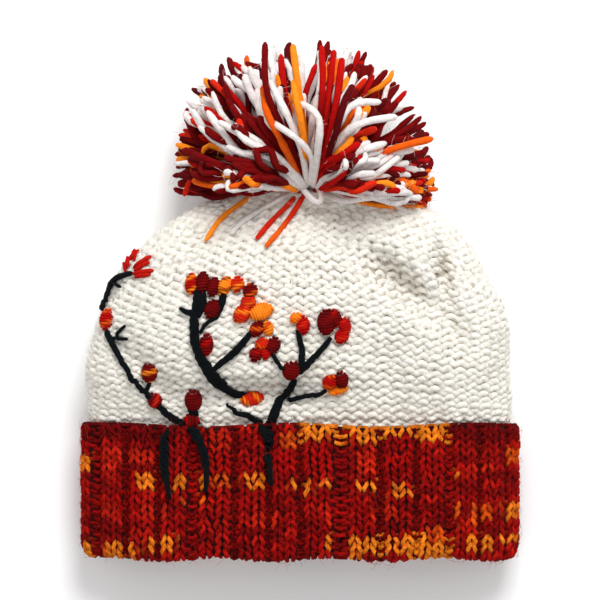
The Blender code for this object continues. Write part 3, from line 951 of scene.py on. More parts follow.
# %% Stem stitch
STEM_YARN = 1.05 * MM
STEM_STITCH = 8.5 * MM
STEM_COLUMNS = ("start_width", "end_width", "path")
STEMS = (
    (5, 7, ((138, 275), (121, 283), (112, 300), (108, 311))),
    (6, 5, ((112, 330), (118, 348), (126, 365), (135, 379), (147, 392), (158, 402))),
    (6, 10, ((156, 400), (168, 411), (181, 419), (192, 426), (200, 432))),
    (11, 4, ((196, 426), (204, 443), (208, 462), (208, 476), (207, 489))),
    (3, 4, ((119, 284), (126, 289))),
    (4, 3, ((114, 338), (124, 337), (133, 337))),
    (4, 3, ((121, 338), (124, 331), (131, 325))),
    (5, 4, ((146, 390), (148, 386), (151, 380))),
    (4, 9, ((170, 427), (168, 438), (168, 450))),
    (9, 4, ((168, 450), (168, 468), (170, 484), (172, 497))),
    (17, 12, ((204, 291), (202, 303), (198, 315))),
    (10, 10, ((197, 311), (197, 329), (198, 343), (205, 360))),
    (11, 13, ((201, 352), (208, 364), (215, 373), (224, 380))),
    (11, 7, ((220, 376), (232, 387), (249, 394))),
    (4, 8, ((183, 308), (190, 312), (198, 314))),
    (4, 4, ((202, 332), (208, 323), (218, 317))),
    (6, 9, ((217, 317), (222, 306), (225, 296))),
    (6, 9, ((212, 368), (229, 355), (240, 345))),
    (9, 6, ((236, 348), (244, 340), (252, 330))),
    (11, 9, ((267, 424), (275, 411), (283, 397))),
    (9, 8, ((283, 397), (290, 384), (295, 374))),
    (8, 6, ((299, 368), (302, 351), (300, 340), (298, 329))),
    (7, 6, ((298, 368), (312, 357), (321, 348), (330, 337))),
    (4, 5, ((288, 367), (279, 363), (274, 355))),
    (5, 4, ((288, 400), (304, 395), (315, 392), (327, 387))),
    (8, 3, ((262, 421), (249, 413), (237, 410), (227, 404))),
    (9, 6, ((259, 418), (265, 433), (271, 447))),
    (7, 4, ((270, 445), (273, 467), (274, 483))),
    (12, 11, ((195, 404), (195, 413))),
)
print("stems", len(STEMS))


# %% [markdown]
# ## From places to a soft line
#
# A stem or a strand is charted as a few places only. Straight lines between them would show corners. A
# spline that passes through each place keeps the chart honest, and its points are then spread evenly.

# %% A soft curve through a few places
CURVE_STEPS = 8
STEM_SPACING = 0.5 * MM
STRAND_SPACING = 1 * MM


def smooth_path(places, spacing):
    """Even points along a soft curve through a few places, in metres, and its length."""
    places = np.array(places, float)
    if len(places) > 2:
        ends = np.vstack([2 * places[0] - places[1], places, 2 * places[-1] - places[-2]])
        curve = []
        for p0, p1, p2, p3 in zip(ends, ends[1:], ends[2:], ends[3:]):
            for t in np.arange(CURVE_STEPS) / CURVE_STEPS:
                square = (2 * p0 - 5 * p1 + 4 * p2 - p3) * t**2
                cube = (3 * p1 - p0 - 3 * p2 + p3) * t**3
                curve.append(0.5 * (2 * p1 + (p2 - p0) * t + square + cube))
        places = np.array(curve + [ends[-2]])
    steps = np.concatenate([[0], np.cumsum(np.linalg.norm(np.diff(places, axis=0), axis=1))])
    count = max(3, round(steps[-1] / spacing) + 1)
    wanted = np.linspace(0, steps[-1], count)
    return np.stack([np.interp(wanted, steps, places[:, i]) for i in (0, 1)], axis=1), steps[-1]


def along_line(line, shares):
    """Places at these shares of an evenly spaced line."""
    step = np.linspace(0, 1, len(line))
    return np.stack([np.interp(shares, step, line[:, k]) for k in (0, 1)], axis=1)


# %% [markdown]
# ## Stitch by stitch along a stem
#
# A thin stem is one lane of stitches, a thick one several side by side. Each stitch slants across the stem,
# arches off the cloth and sinks at both ends, and every second one stands a little higher, so that the
# light finds each of them.

# %% Working the stem stitches
STEM_POINTS = 9
# Shares of a stitch: how far each stands ahead of the last, and what is left over at a stem's end.
STITCH_ADVANCE = 0.42
STITCH_REST = 0.6
# A wide stem has several lanes of stitches, each this many yarn radii wide, plump enough to touch the next.
LANE_WIDTH = 2.1
LANE_PLUMPNESS = 0.56
LANE_SPREAD = 0.85
STITCH_SLANT = 0.35
LEAST_SLANT_WIDTH = 0.5 * MM
YARN_LIFT = 0.55
STITCH_ARCH = 0.75 * MM
STITCH_SINK = 0.35 * MM
STITCH_STEP = 0.25 * MM
STITCH_TAPER = ((0, 0.15, 0.85, 1), (0.55, 0.95, 0.95, 0.5))


def stem_stitches():
    """Paths, normals and radii of all the stem stitches."""
    paths, normals, radii = [], [], []
    for entry in STEMS:
        stem = dict(zip(STEM_COLUMNS, entry))
        places = [photo_place(px, py) for px, py in stem["path"]]
        line, length = smooth_path(places, STEM_SPACING)
        stitch = min(STEM_STITCH, length)
        starts = np.arange(0, max(length - stitch * STITCH_REST, 0.1 * MM), stitch * STITCH_ADVANCE)
        for i, start in enumerate(starts):
            share = np.linspace(0, 1, STEM_POINTS)
            at = np.clip(start + share * stitch, 0, length)
            xy = along_line(line, at / length)
            ahead = unit(np.gradient(xy, axis=0))
            across = np.stack([-ahead[:, 1], ahead[:, 0]], axis=1)
            pixels = np.interp(at / length, (0, 1), (stem["start_width"], stem["end_width"]))
            width = pixels * MM_PER_PIXEL * MM
            lanes = max(1, round(float(width.mean()) / (LANE_WIDTH * STEM_YARN)))
            radius = width / lanes * LANE_PLUMPNESS
            arch = STITCH_ARCH * np.sin(math.pi * share) - STITCH_SINK + STITCH_STEP * (i % 2)
            for lane in range(lanes):
                slant = (share - 0.5) * STITCH_SLANT + ((lane + 0.5) / lanes - 0.5) * LANE_SPREAD
                place = xy + across * (slant * np.maximum(width - radius, LEAST_SLANT_WIDTH))[:, None]
                spots = [on_cloth(x, y, YARN_LIFT * r) for (x, y), r in zip(place, radius)]
                normal = np.array([s[1] for s in spots])
                paths.append(np.array([s[0] for s in spots]) + normal * arch[:, None])
                normals.append(normal)
                radii.append(radius * np.interp(share, *STITCH_TAPER))
    return np.array(paths), np.array(normals), np.array(radii)


stem_paths, stem_normals, stem_radii = stem_stitches()
stems = yarn_mesh("embroidered_stems", stem_paths, stem_radii, stem_normals, DYES["black"])

# %% [markdown]
# ## Berries
#
# Each berry is a bullion knot: yarn wound round the needle a few times and pulled down into a little
# barrel. So a berry is a stack of arcs over the cloth, wider in the middle. A ball with a bump map would be
# quicker, but its outline would stay round, and it is the wraps at the outline that say wool.

# %% Chart of the berries
BERRY_COLUMNS = ("px", "py", "width", "height", "turn", "dye", "second_dye")
BERRIES = (
    (194, 285, 11, 18, 0, "red", "orange"),
    (205, 284, 12, 19, 0, "dark red", "wine"),
    (215, 288, 11, 17, 10, "dark red", "wine"),
    (226, 287, 12, 17, 20, "orange", "dark red"),
    (238, 285, 13, 14, 0, "light red", "orange"),
    (214, 309, 14, 17, 20, "dark red", "wine"),
    (208, 343, 12, 19, 0, "dark red", "red"),
    (251, 291, 13, 13, 0, "dark red", "deep orange"),
    (249, 302, 13, 13, 0, "light red", "deep orange"),
    (243, 313, 14, 18, 30, "light red", "orange"),
    (261, 311, 15, 22, 70, "orange", "orange"),
    (257, 328, 12, 15, 30, "dark red", "deep orange"),
    (268, 327, 10, 13, -20, "orange", "light red"),
    (273, 344, 13, 16, 20, "dark red", "wine"),
    (263, 342, 11, 13, 60, "light red", "deep orange"),
    (257, 353, 12, 14, 20, "dark red", "red"),
    (266, 352, 10, 11, 0, "red", "light red"),
    (296, 317, 10, 11, 40, "orange", "deep orange"),
    (303, 324, 12, 16, -10, "red", "light red"),
    (326, 321, 16, 22, 0, "dark red", "wine"),
    (334, 317, 12, 15, -20, "dark red", "red"),
    (344, 325, 11, 15, -10, "red", "light red"),
    (341, 335, 12, 13, 20, "red", "light red"),
    (291, 367, 15, 17, 10, "dark red", "dark red"),
    (330, 378, 12, 15, 30, "red", "deep orange"),
    (341, 376, 12, 16, -10, "dark red", "wine"),
    (338, 387, 8, 17, 70, "orange", "deep orange"),
    (252, 400, 13, 20, 75, "light red", "orange"),
    (195, 397, 15, 20, 0, "dark red", "wine"),
    (193, 418, 14, 14, 90, "dark red", "red"),
    (112, 320, 13, 19, 5, "red", "deep orange"),
    (152, 370, 15, 18, 10, "dark red", "orange"),
    (156, 399, 13, 13, -40, "dark red", "light red"),
)
print("berries", len(BERRIES))

# %% [markdown]
# ## Winding the yarn
#
# The wraps lie next to each other along the berry's axis, each an arc from the cloth on one side over the
# top to the other. Their dye comes and goes along the yarn, so a red berry shows a bar or two of orange.

# %% Winding the berries
WRAP_YARN = 0.85 * MM
WRAP_POINTS = 11
BERRY_SWELL = 1.16
# In yarn radii: the pitch of the wraps, how far they slant, and the insets at the berry's ends and sides.
WRAP_PITCH = 1.55
WRAP_SLANT = 0.28
END_INSET = 0.8
SIDE_INSET = 0.75
# Each wrap runs this far past the half circle, in radians, so that its ends sink in the cloth.
WRAP_OVERRUN = 0.35
# How much narrower the end wraps are, and how high the berry stands for its width.
END_NARROWING = 0.88
HEIGHT_SHARE = 0.75
HEIGHT_EXTRA = 0.6 * MM
BERRY_SINK = 0.3 * MM
# The second dye comes and goes along the yarn: its waves, its strength and where it sets in.
DYE_PER_WRAP = 1.3
DYE_ROUND_WRAP = 1.2
DYE_STRENGTH = 1.1
DYE_LEVEL = 0.25
DYE_MOST = 0.8


def berry_wraps():
    """Paths, normals and dyes of every wrap of every berry."""
    paths, normals, dyes = [], [], []
    for entry in BERRIES:
        berry = dict(zip(BERRY_COLUMNS, entry))
        x, y = photo_place(berry["px"], berry["py"])
        base, normal = on_cloth(x, y)
        turn = math.radians(berry["turn"])
        along = np.array([math.sin(turn), math.cos(turn), 0.0])
        along = unit(along - normal * along.dot(normal))
        across = np.cross(along, normal)
        half_long = berry["height"] / 2 * MM_PER_PIXEL * MM * BERRY_SWELL
        half_wide = berry["width"] / 2 * MM_PER_PIXEL * MM * BERRY_SWELL
        wraps = max(3, round((2 * half_long - WRAP_YARN) / (WRAP_PITCH * WRAP_YARN)))
        phi = np.linspace(-WRAP_OVERRUN, math.pi + WRAP_OVERRUN, WRAP_POINTS)
        slant = WRAP_SLANT * WRAP_YARN * np.cos(phi)
        for k in range(wraps):
            share = 2 * k / (wraps - 1) - 1
            reach = share * (half_long - WRAP_YARN * END_INSET)
            narrow = math.sqrt(1 - END_NARROWING * share**2)
            wide = (half_wide - WRAP_YARN * SIDE_INSET) * narrow
            high = (half_wide * HEIGHT_SHARE + HEIGHT_EXTRA) * narrow
            path = base + along * (reach + slant)[:, None] + across * (wide * np.cos(phi))[:, None]
            paths.append(path + normal * (high * np.sin(phi) - BERRY_SINK)[:, None])
            normals.append(across * np.cos(phi)[:, None] + normal * np.sin(phi)[:, None])
            second = DYE_STRENGTH * np.sin(DYE_PER_WRAP * k + DYE_ROUND_WRAP * phi + x / MM) - DYE_LEVEL
            dyes.append(blend(DYES[berry["dye"]], DYES[berry["second_dye"]], np.clip(second, 0, DYE_MOST)))
    return np.array(paths), np.array(normals), np.array(dyes)


berry_paths, berry_normals, berry_dyes = berry_wraps()
berries = yarn_mesh("berries", berry_paths, WRAP_YARN, berry_normals, berry_dyes)

# %% [markdown]
# ## The flower
#
# The flower is a few straight stitches that fan out from the top of its stem, worked in thick red wool and
# left loose, so each one arches over the cloth. Flat leaves would catch the light wrongly. One tapered tube
# a stitch is enough.

# %% The flower's petals
PETALS = (
    ((132, 275), (130, 264), (133, 256), (140, 250)),
    ((134, 270), (133, 263), (136, 257), (140, 253)),
    ((140, 264), (139, 251)),
    ((139, 270), (156, 259)),
    ((140, 273), (154, 264)),
    ((138, 276), (158, 272)),
    ((140, 279), (155, 276)),
)
PETAL_YARN = 1.3 * MM
# A loose stitch at the hat's steep side bridges it rather than running down it.
PETAL_DROP = 5 * MM
PETAL_POINTS = 9
PETAL_LIFT = 0.3 * MM
PETAL_ARCH = 0.8 * MM
PETAL_TAPER = ((0, 0.2, 0.85, 1), (0.6, 1, 1, 0.5))
PETAL_SECOND_DYE = 0.5
petal_shares = np.linspace(0, 1, PETAL_POINTS)


def petal_strands():
    """Paths and normals of the flower's straight stitches."""
    paths, normals = [], []
    lifts = PETAL_LIFT + PETAL_ARCH * np.sin(math.pi * petal_shares)
    for petal in PETALS:
        line, _ = smooth_path([photo_place(px, py) for px, py in petal], STRAND_SPACING)
        spots = [on_cloth(x, y, lift) for (x, y), lift in zip(along_line(line, petal_shares), lifts)]
        places = np.array([s[0] for s in spots])
        places[:, 2] = np.maximum(places[:, 2], places[:, 2].max() - PETAL_DROP)
        paths.append(places)
        normals.append([s[1] for s in spots])
    return np.array(paths), np.array(normals)


petal_paths, petal_normals = petal_strands()
petal_radii = PETAL_YARN * np.interp(petal_shares, *PETAL_TAPER)
petal_dye = blend(DYES["red"], DYES["light red"], petal_shares * PETAL_SECOND_DYE)
flower = yarn_mesh("flower_petals", petal_paths, petal_radii, petal_normals, petal_dye)

# %% [markdown]
# ## The pompom
#
# The pompom is a bunch of cut yarns tied at the root. It fans out over a half ball, and the lowest yarns
# lie on the table. Hair particles could do it, but their ends are hard to dye one by one and to keep off the
# table. So every strand is a tube of its own. They come in clumps of one dye, as yarn does that is wound on
# in turns and cut.

# %% Size and dyes of the pompom
STRAND_YARN = 1.9 * MM
STRAND_STEPS = np.append(np.linspace(0, 0.94, 13), (0.98, 1.0))
CLUMPS = 92
STRANDS_IN_CLUMP = 5
ROOT = np.array([2.0 * MM, 105 * MM, 30 * MM])
SIDE_REACH = 70 * MM
TOP_REACH = 74 * MM
TRIM_SQUARENESS = 2.3
DOME_HEIGHT = 58 * MM
ROOT_TOP = 46 * MM
FRONT_LIFT = 10 * MM
FRONT_ARCH = 0.72
CROWN_TOP_Y = 88 * MM
# Where dyes gather round the pompom: middle and half width of each gathering, in degrees from the +X side.
DARK_GATHERINGS = ((168, 20), (132, 8), (86, 7), (40, 9), (12, 12))
WHITE_GATHERINGS = ((112, 10), (148, 7), (60, 10), (26, 8))


def gathered(side_angle, gatherings):
    """How strongly a dye gathers at this side of the pompom, from 0 to 1."""
    degrees = math.degrees(side_angle)
    return max(math.exp(-(((degrees - middle) / half) ** 2)) for middle, half in gatherings)


# Shares of the clumps: dark anywhere, more where dark gathers, how much of it is dark red, and red.
DARK_SHARE = 0.28
DARK_GATHERED = 0.5
DARK_NOT_WINE = 0.7
RED_SHARE = 0.18


def clump_dye(side_angle):
    """The dye of a clump, by chance, weighted by where it is."""
    dark = gathered(side_angle, DARK_GATHERINGS) * (1 - gathered(side_angle, WHITE_GATHERINGS))
    dark = DARK_SHARE + DARK_GATHERED * dark
    roll = chance.random()
    if roll < dark:
        return "dark red" if chance.random() < DARK_NOT_WINE else "wine"
    return "red" if roll < dark + RED_SHARE else "white"


print("strands by chance", CLUMPS * STRANDS_IN_CLUMP)

# %% [markdown]
# ## One strand
#
# A strand leaves the tie stiffly, then its weight bends it. A curve with one knee gives that in three
# points: the root, a knee above it and the tip. The trim cuts all tips to one outline, a little squarer
# than a half circle.

# %% A strand by chance
STRAY_SHARE = 0.34
STRAY_DYES = ("orange", "deep orange", "white", "white", "red", "red", "dark red", "dark red", "light red")
# A strand's thickness along it, as shares of the full one.
TAPER_STEPS = (0, 0.06, 0.94, 0.98, 1)
TAPER_SHARES = (0.8, 1, 1, 0.85, 0.4)
# Most strands end at the trim, the rest short of it. Both reaches are shares of the way to the trim.
LONG_SHARE = 0.8
LONG_REACH = (0.94, 1.03)
SHORT_REACH = (0.72, 0.94)
# The roots in millimetres: their spread by chance, where upright strands start, and how far out all stand.
ROOT_SPREAD = (2.5, 1.5, 1.5)
UPRIGHT_ROOT = (0, -3, 15)
ROOT_OUT = (7, 3, 0)
# How fast the reach shrinks as strands rise, how far low tips fall, and where the knee is, for low strands
# and for upright ones.
FLATNESS_POWER = 0.75
TIP_FALL = 8 * MM
KNEE_OUT = (0.50, 0.28)
KNEE_RISE = (0.12, 0.75)
KNEE_CHANCE = 6 * MM
SWING = 2.8 * MM
SWING_WAVES = (1.8, 4.0)
SWING_START = (0, 3)
THICKNESS_RANGE = (0.8, 1.1)
# A red strand may turn orange: how often, from where along it, and how fast.
ORANGE_TIPS = 0.4
TURN_FROM = 0.45
TURN_SPEED = 4
turning = np.clip((STRAND_STEPS - TURN_FROM) * TURN_SPEED, 0, 1)


def bend(start, knee, tip):
    """A quadratic curve through the air."""
    t = STRAND_STEPS[:, None]
    return start * (1 - t) ** 2 + knee * 2 * t * (1 - t) + tip * t**2


def strand(side_angle, lift, dye):
    """One strand: it rises from the root, then falls outwards over the strands below it."""
    out = np.array([math.cos(side_angle), math.sin(side_angle), 0.0])
    shares = np.abs(out[:2]) / (SIDE_REACH, TOP_REACH)
    reach = (shares**TRIM_SQUARENESS).sum() ** (-1 / TRIM_SQUARENESS)
    reach *= chance.uniform(*LONG_REACH) if chance.random() < LONG_SHARE else chance.uniform(*SHORT_REACH)
    up = max(0.0, math.sin(lift))
    flat = math.cos(lift) ** FLATNESS_POWER
    start = ROOT + (chance.normal(0, ROOT_SPREAD) + up * np.array(UPRIGHT_ROOT)) * MM
    start += out * np.array(ROOT_OUT) * MM
    tip = ROOT + out * reach * flat
    tip[2] += DOME_HEIGHT * math.sin(lift) - TIP_FALL * flat
    knee = start + out * reach * (KNEE_OUT[0] - KNEE_OUT[1] * up)
    knee[2] += (KNEE_RISE[0] + KNEE_RISE[1] * up) * DOME_HEIGHT
    knee += chance.normal(0, KNEE_CHANCE, 3) * flat
    path = bend(start, knee, tip)
    swing = chance.normal(0, SWING, 3) * flat
    waves = math.pi * STRAND_STEPS * chance.uniform(*SWING_WAVES) + chance.uniform(*SWING_START)
    path += swing * (np.sin(waves) * STRAND_STEPS)[:, None]
    path[:, 2] = np.maximum(path[:, 2], STRAND_YARN)
    end_dye = "orange" if dye == "red" and chance.random() < ORANGE_TIPS else dye
    taper = np.interp(STRAND_STEPS, TAPER_STEPS, TAPER_SHARES) * chance.uniform(*THICKNESS_RANGE)
    return path, blend(DYES[dye], DYES[end_dye], turning), taper


# Clumps stand at these angles round the root, in degrees, and their strands spread from there. The lifts of
# the strands are in radians. The sines of the clumps' lifts are even, so that the half ball fills evenly.
SIDE_ANGLES = (-10, 190)
CLUMP_SPREAD = 6
LIFT_SINES = (-0.22, 0.97)
CLUMP_LIFT_SPREAD = 0.09
LIFT_RANGE = (-0.25, 1.4)
# No strand by chance points further to the front than this sine, where it would cover the crown.
FRONTMOST = -0.16


def pompom_strands():
    """Clumps of strands of one dye, some of them strayed from another clump."""
    made = []
    for _ in range(CLUMPS):
        side_angle = math.radians(chance.uniform(*SIDE_ANGLES))
        lift = math.asin(chance.uniform(*LIFT_SINES))
        dye = clump_dye(side_angle)
        for _ in range(STRANDS_IN_CLUMP):
            angle = side_angle + math.radians(chance.normal(0, CLUMP_SPREAD))
            if math.sin(angle) < FRONTMOST:
                angle = side_angle
            own_lift = float(np.clip(lift + chance.normal(0, CLUMP_LIFT_SPREAD), *LIFT_RANGE))
            own_dye = STRAY_DYES[chance.integers(len(STRAY_DYES))] if chance.random() < STRAY_SHARE else dye
            made.append(strand(angle, own_lift, own_dye))
    return [list(parts) for parts in zip(*made)]


# %% [markdown]
# ## Strands placed one by one
#
# The eye knows a face by its features and a pompom by its strays. The strands that stand out in the
# photograph are placed one by one, from the root to the tip, and the ones made by chance fill in behind
# them.

# %% Chart of the strays
# A crest is the height of a stray's middle above the table, in millimetres. Strays with a crest of 0 lie on
# the crown. A stray starts in one dye and ends in another.
STRAY_COLUMNS = ("crest", "dye", "end_dye", "places")
STRAYS = (
    (0, "orange", "orange", ((300, 186), (262, 193), (238, 207), (220, 222), (207, 242))),
    (0, "white", "white", ((300, 190), (268, 207), (244, 222), (232, 235))),
    (0, "light red", "light red", ((302, 190), (288, 206), (272, 222), (257, 240))),
    (0, "light red", "deep orange", ((306, 192), (297, 208), (283, 228), (266, 248))),
    (0, "orange", "orange", ((312, 186), (340, 196), (368, 205), (395, 208), (422, 208))),
    (0, "red", "deep orange", ((312, 184), (350, 186), (395, 190), (437, 190))),
    (0, "white", "white", ((310, 184), (345, 192), (385, 203), (405, 212))),
    (0, "dark red", "light red", ((298, 186), (262, 184), (225, 186), (192, 190))),
    (0, "white", "white", ((296, 188), (258, 196), (222, 200), (205, 199))),
    (70, "white", "white", ((306, 188), (292, 173), (272, 156), (251, 147), (241, 138), (238, 128))),
    (66, "white", "white", ((303, 189), (286, 173), (262, 159), (240, 157))),
    (64, "white", "white", ((300, 189), (284, 178), (266, 164), (246, 158), (228, 150))),
    (82, "white", "white", ((310, 186), (312, 164), (299, 146), (272, 127))),
    (86, "white", "white", ((313, 188), (317, 156), (318, 124), (298, 108))),
    (84, "white", "white", ((308, 186), (300, 150), (286, 118), (270, 88))),
    (70, "white", "white", ((317, 188), (332, 170), (356, 156), (384, 147))),
    (66, "white", "white", ((316, 189), (334, 175), (358, 162), (381, 153))),
    (62, "white", "white", ((319, 190), (342, 178), (368, 166), (392, 150))),
    (84, "white", "white", ((322, 184), (332, 140), (350, 112), (378, 108))),
    (78, "white", "white", ((322, 182), (340, 142), (362, 128), (394, 122))),
    (58, "white", "white", ((318, 188), (350, 178), (378, 160), (412, 152))),
    (84, "red", "red", ((314, 186), (322, 140), (328, 98), (333, 58))),
    (86, "dark red", "red", ((312, 186), (318, 138), (322, 92), (321, 54))),
    (86, "red", "red", ((316, 186), (328, 142), (336, 104), (341, 66))),
    (88, "orange", "orange", ((306, 180), (303, 140), (297, 108), (293, 88))),
    (80, "orange", "orange", ((308, 178), (302, 120), (297, 84), (293, 52))),
    (86, "wine", "wine", ((318, 180), (333, 144), (342, 112), (351, 92))),
    (80, "dark red", "dark red", ((306, 184), (286, 140), (268, 98), (266, 50))),
    (78, "deep orange", "deep orange", ((302, 184), (284, 150), (268, 118), (264, 92))),
    (60, "orange", "orange", ((296, 192), (276, 184), (252, 176), (224, 178))),
    (62, "light red", "deep orange", ((318, 186), (352, 168), (392, 152), (430, 142))),
)
print("strands by hand", len(STRAYS))

# %% [markdown]
# ## Laying the strays
#
# A stray with a crest leaves the root, rises to its height over the pompom and comes down towards its tip.
# One without lies on the crown: a ray finds the cloth below it, and near the root it stays at the pompom's
# height, since a strand can't drop at once.

# %% Laying the strays
# Shares of the strand's radius: how high a stray lies on the cloth, and how thin it is there.
STRAY_LIFT = 0.9
STRAY_THINNESS = 0.75
EDGE_DROP = 6 * MM
# Any direction that no strand runs along will do as the strands' upward side.
STRAND_NORMAL = np.array([0.21, 0.33, 0.92])
THICKNESS_CHANCE = 0.07


def stray_strands():
    """The strands of the chart, laid over the pompom or on the crown."""
    paths, dyes, tapers = [], [], []
    t = STRAND_STEPS
    for entry in STRAYS:
        stray = dict(zip(STRAY_COLUMNS, entry))
        line, _ = smooth_path([photo_place(px, py) for px, py in stray["places"]], STRAND_SPACING)
        xy = along_line(line, t)
        if stray["crest"]:
            rise = np.sin(math.pi * FRONT_ARCH * t)
            heights = ROOT_TOP + FRONT_LIFT + (stray["crest"] * MM - ROOT_TOP) * rise
        else:
            laid = np.array([on_cloth(x, y, STRAND_YARN * STRAY_LIFT)[0][2] for x, y in xy])
            heights = np.where(xy[:, 1] > CROWN_TOP_Y, np.maximum(laid, ROOT_TOP - EDGE_DROP * t), laid)
            heights = np.convolve(np.pad(heights, 1, mode="edge"), SOFTENING, mode="valid")
        paths.append(np.column_stack([xy, heights]))
        dyes.append(blend(DYES[stray["dye"]], DYES[stray["end_dye"]], turning))
        tapers.append(np.interp(t, TAPER_STEPS, TAPER_SHARES) * (1 if stray["crest"] else STRAY_THINNESS))
    return paths, dyes, tapers


strand_paths, strand_dyes, tapers = [np.array(a + b) for a, b in zip(pompom_strands(), stray_strands())]
strand_radii = tapers * STRAND_YARN * chance.normal(1, THICKNESS_CHANCE, tapers.shape)
strand_normals = np.broadcast_to(STRAND_NORMAL, strand_paths.shape)
pompom = yarn_mesh("pompom_strands", strand_paths, strand_radii, strand_normals, strand_dyes, sides=7)

# %% [markdown]
# ## Loose hair
#
# Wool sheds fine hairs that stand off the yarn and soften every edge. Sheen alone brightens the edge but
# leaves it sharp, so a few thousand real hairs are added. They start at random places of the knitting and
# of the pompom's strands, run a few millimetres along the surface and bend up. Each is thinner than a
# pixel.

# %% Hairs
HAIR_POINTS = 5
HAIR_RADIUS = 0.06 * MM
HAIR_LENGTH = (3 * MM, 8 * MM)
HAIR_STAND = (0.3 * MM, 1.5 * MM)
HAIR_CURL = 0.3
HAIR_BEND = (0.4, 0.9)


def loose_hair(name, spots, normals, dyes):
    """One object of fine bent hairs that start at these spots."""
    count = len(spots)
    way = unit(np.cross(normals, chance.normal(0, 1, (count, 3))))
    curl = np.cross(way, normals)
    share = np.linspace(0, 1, HAIR_POINTS)
    length = chance.uniform(*HAIR_LENGTH, (count, 1))
    ahead = length * share
    aside = chance.normal(0, HAIR_CURL, (count, 1)) * length * share**2
    stand = chance.uniform(*HAIR_STAND, (count, 1))
    up = stand * np.sin(math.pi * share * chance.uniform(*HAIR_BEND, (count, 1)))
    paths = spots[:, None] + way[:, None] * ahead[:, :, None]
    paths += curl[:, None] * aside[:, :, None] + normals[:, None] * up[:, :, None]
    return yarn_mesh(name, paths, HAIR_RADIUS, np.broadcast_to(normals[:, None], paths.shape), dyes, sides=3)


def hair_spots(points, normals, rows, count, lift):
    """Random places on the front of a grid, lifted to the top of the yarn."""
    at_row = chance.uniform(*rows, count)
    at_turn = chance.uniform(0, 0.5, count) * points.shape[1]
    spots, out = on_grid(points, normals, at_row, at_turn)
    return spots + out * lift, out


# %% [markdown]
# ## Where the hairs grow
#
# Most of them stand on the crown, where the pale wool shows them against the paper and against its own
# shadows. The cuff's are red, and the pompom's take the dye of the strand that they grow on.

# %% Hairs of the crown, the cuff and the pompom
CROWN_HAIRS = 4500
CUFF_HAIRS = 2000
POMPOM_HAIRS = 2600
CUFF_HAIR_DYES = ("light red", "red")
CROWN_HAIR_LIFT = 0.3 * MM
CUFF_HAIR_LIFT = 1.8 * MM
POMPOM_HAIR_LIFT = 0.8
BARE_ROWS = 3
BARE_POINTS = 3
crown_hair_rows = (BARE_ROWS * FINE_PER_ROW, (ROWS - BARE_ROWS) * FINE_PER_ROW)
crown_spots = hair_spots(crown_points, crown_normals, crown_hair_rows, CROWN_HAIRS, CROWN_HAIR_LIFT)
crown_fuzz = loose_hair("crown_fuzz", *crown_spots, DYES["cream"])
cuff_hair_rows = (0, (fold_row - 1) * FINE_PER_ROW)
cuff_spots = hair_spots(cuff_points, cuff_normals, cuff_hair_rows, CUFF_HAIRS, CUFF_HAIR_LIFT)
cuff_hair_dyes = np.tile([DYES[dye] for dye in CUFF_HAIR_DYES], (CUFF_HAIRS // len(CUFF_HAIR_DYES), 1))
cuff_fuzz = loose_hair("cuff_fuzz", *cuff_spots, cuff_hair_dyes[:, None])
of_strand = chance.integers(0, len(strand_paths), POMPOM_HAIRS)
of_point = chance.integers(BARE_POINTS, len(STRAND_STEPS) - 1, POMPOM_HAIRS)
strand_out = unit(chance.normal(0, 1, (POMPOM_HAIRS, 3)) + (0, 0, 1))
strand_spots = strand_paths[of_strand, of_point] + strand_out * STRAND_YARN * POMPOM_HAIR_LIFT
pompom_fuzz = loose_hair("pompom_fuzz", strand_spots, strand_out, strand_dyes[of_strand, of_point][:, None])

# %% [markdown]
# ## Wool
#
# All of it is plied wool, spun soft and slightly hairy: no gloss, a pale bloom where it is seen edge-on,
# and the twist of the plies running round each yarn. The plies could be modelled, at many times the
# triangles, so a bump does it here. It follows the UV map that runs round and along the yarn. The dye comes
# from the colour attribute, and the fine hair is a noise on Object coordinates.

# %% Helpers for nodes
def add_node(tree, kind, links=(), **settings):
    """One node with its settings, and links given as (socket name, source socket)."""
    node = tree.nodes.new(kind)
    for name, value in settings.items():
        if name.startswith("in_"):
            node.inputs[name[3:].replace("_", " ")].default_value = value
        else:
            setattr(node, name, value)
    for socket, source in links:
        tree.links.new(source, node.inputs[socket])
    return node


def number(tree, operation, first, second=None, third=None):
    """A Math node's result. Plain numbers are set on its sockets, sockets are linked."""
    node = tree.nodes.new("ShaderNodeMath")
    node.operation = operation
    for i, value in enumerate((first, second, third)):
        if isinstance(value, (int, float)):
            node.inputs[i].default_value = value
        elif value is not None:
            tree.links.new(value, node.inputs[i])
    return node.outputs[0]


# %% [markdown]
# ## One recipe for every wool
#
# All wools of the hat share a recipe, and only a few numbers differ: how deep the plies are, how hairy, how
# unevenly dyed, and how much bloom. The plies are waves on the place round the yarn, turned as they run
# along it. Streaks of fibre are a noise on a cylinder, so no seam shows.

# %% Wool material
PLIES = 2
PLY_TURNS_PER_UV = 1.1
PLY_STRENGTH = 0.7
PLY_DEPTH = 0.35 * MM
FIBRES_ROUND = 2.6
FIBRE_SHORTNESS = 0.5
HAIR_NOISE = 1.5 * MM
HAIR_DEPTH = 0.3 * MM
DYE_NOISE = 4 * MM
WOOL_ROUGHNESS = 0.92
WOOL_SPECULAR = 0.08
BLOOM_ROUGHNESS = 0.45
# How noise turns into shade: the range read from it, and how far mottle darkens and lightens the dye.
DYE_MOTTLE = (0.3, 0.7, 1, 0.5)
HAIR_MOTTLE = (0.35, 0.65, 0.7, 0.4)


def mottled(tree, noise, mottle, shares):
    """A factor round 1 from a noise, darker and lighter by shares of mottle."""
    low, high, darker, lighter = shares
    made = add_node(
        tree, "ShaderNodeMapRange", [("Value", noise.outputs["Fac"])],
        in_From_Min=low, in_From_Max=high, in_To_Min=1 - mottle * darker, in_To_Max=1 + mottle * lighter,
    )
    return made.outputs[0]


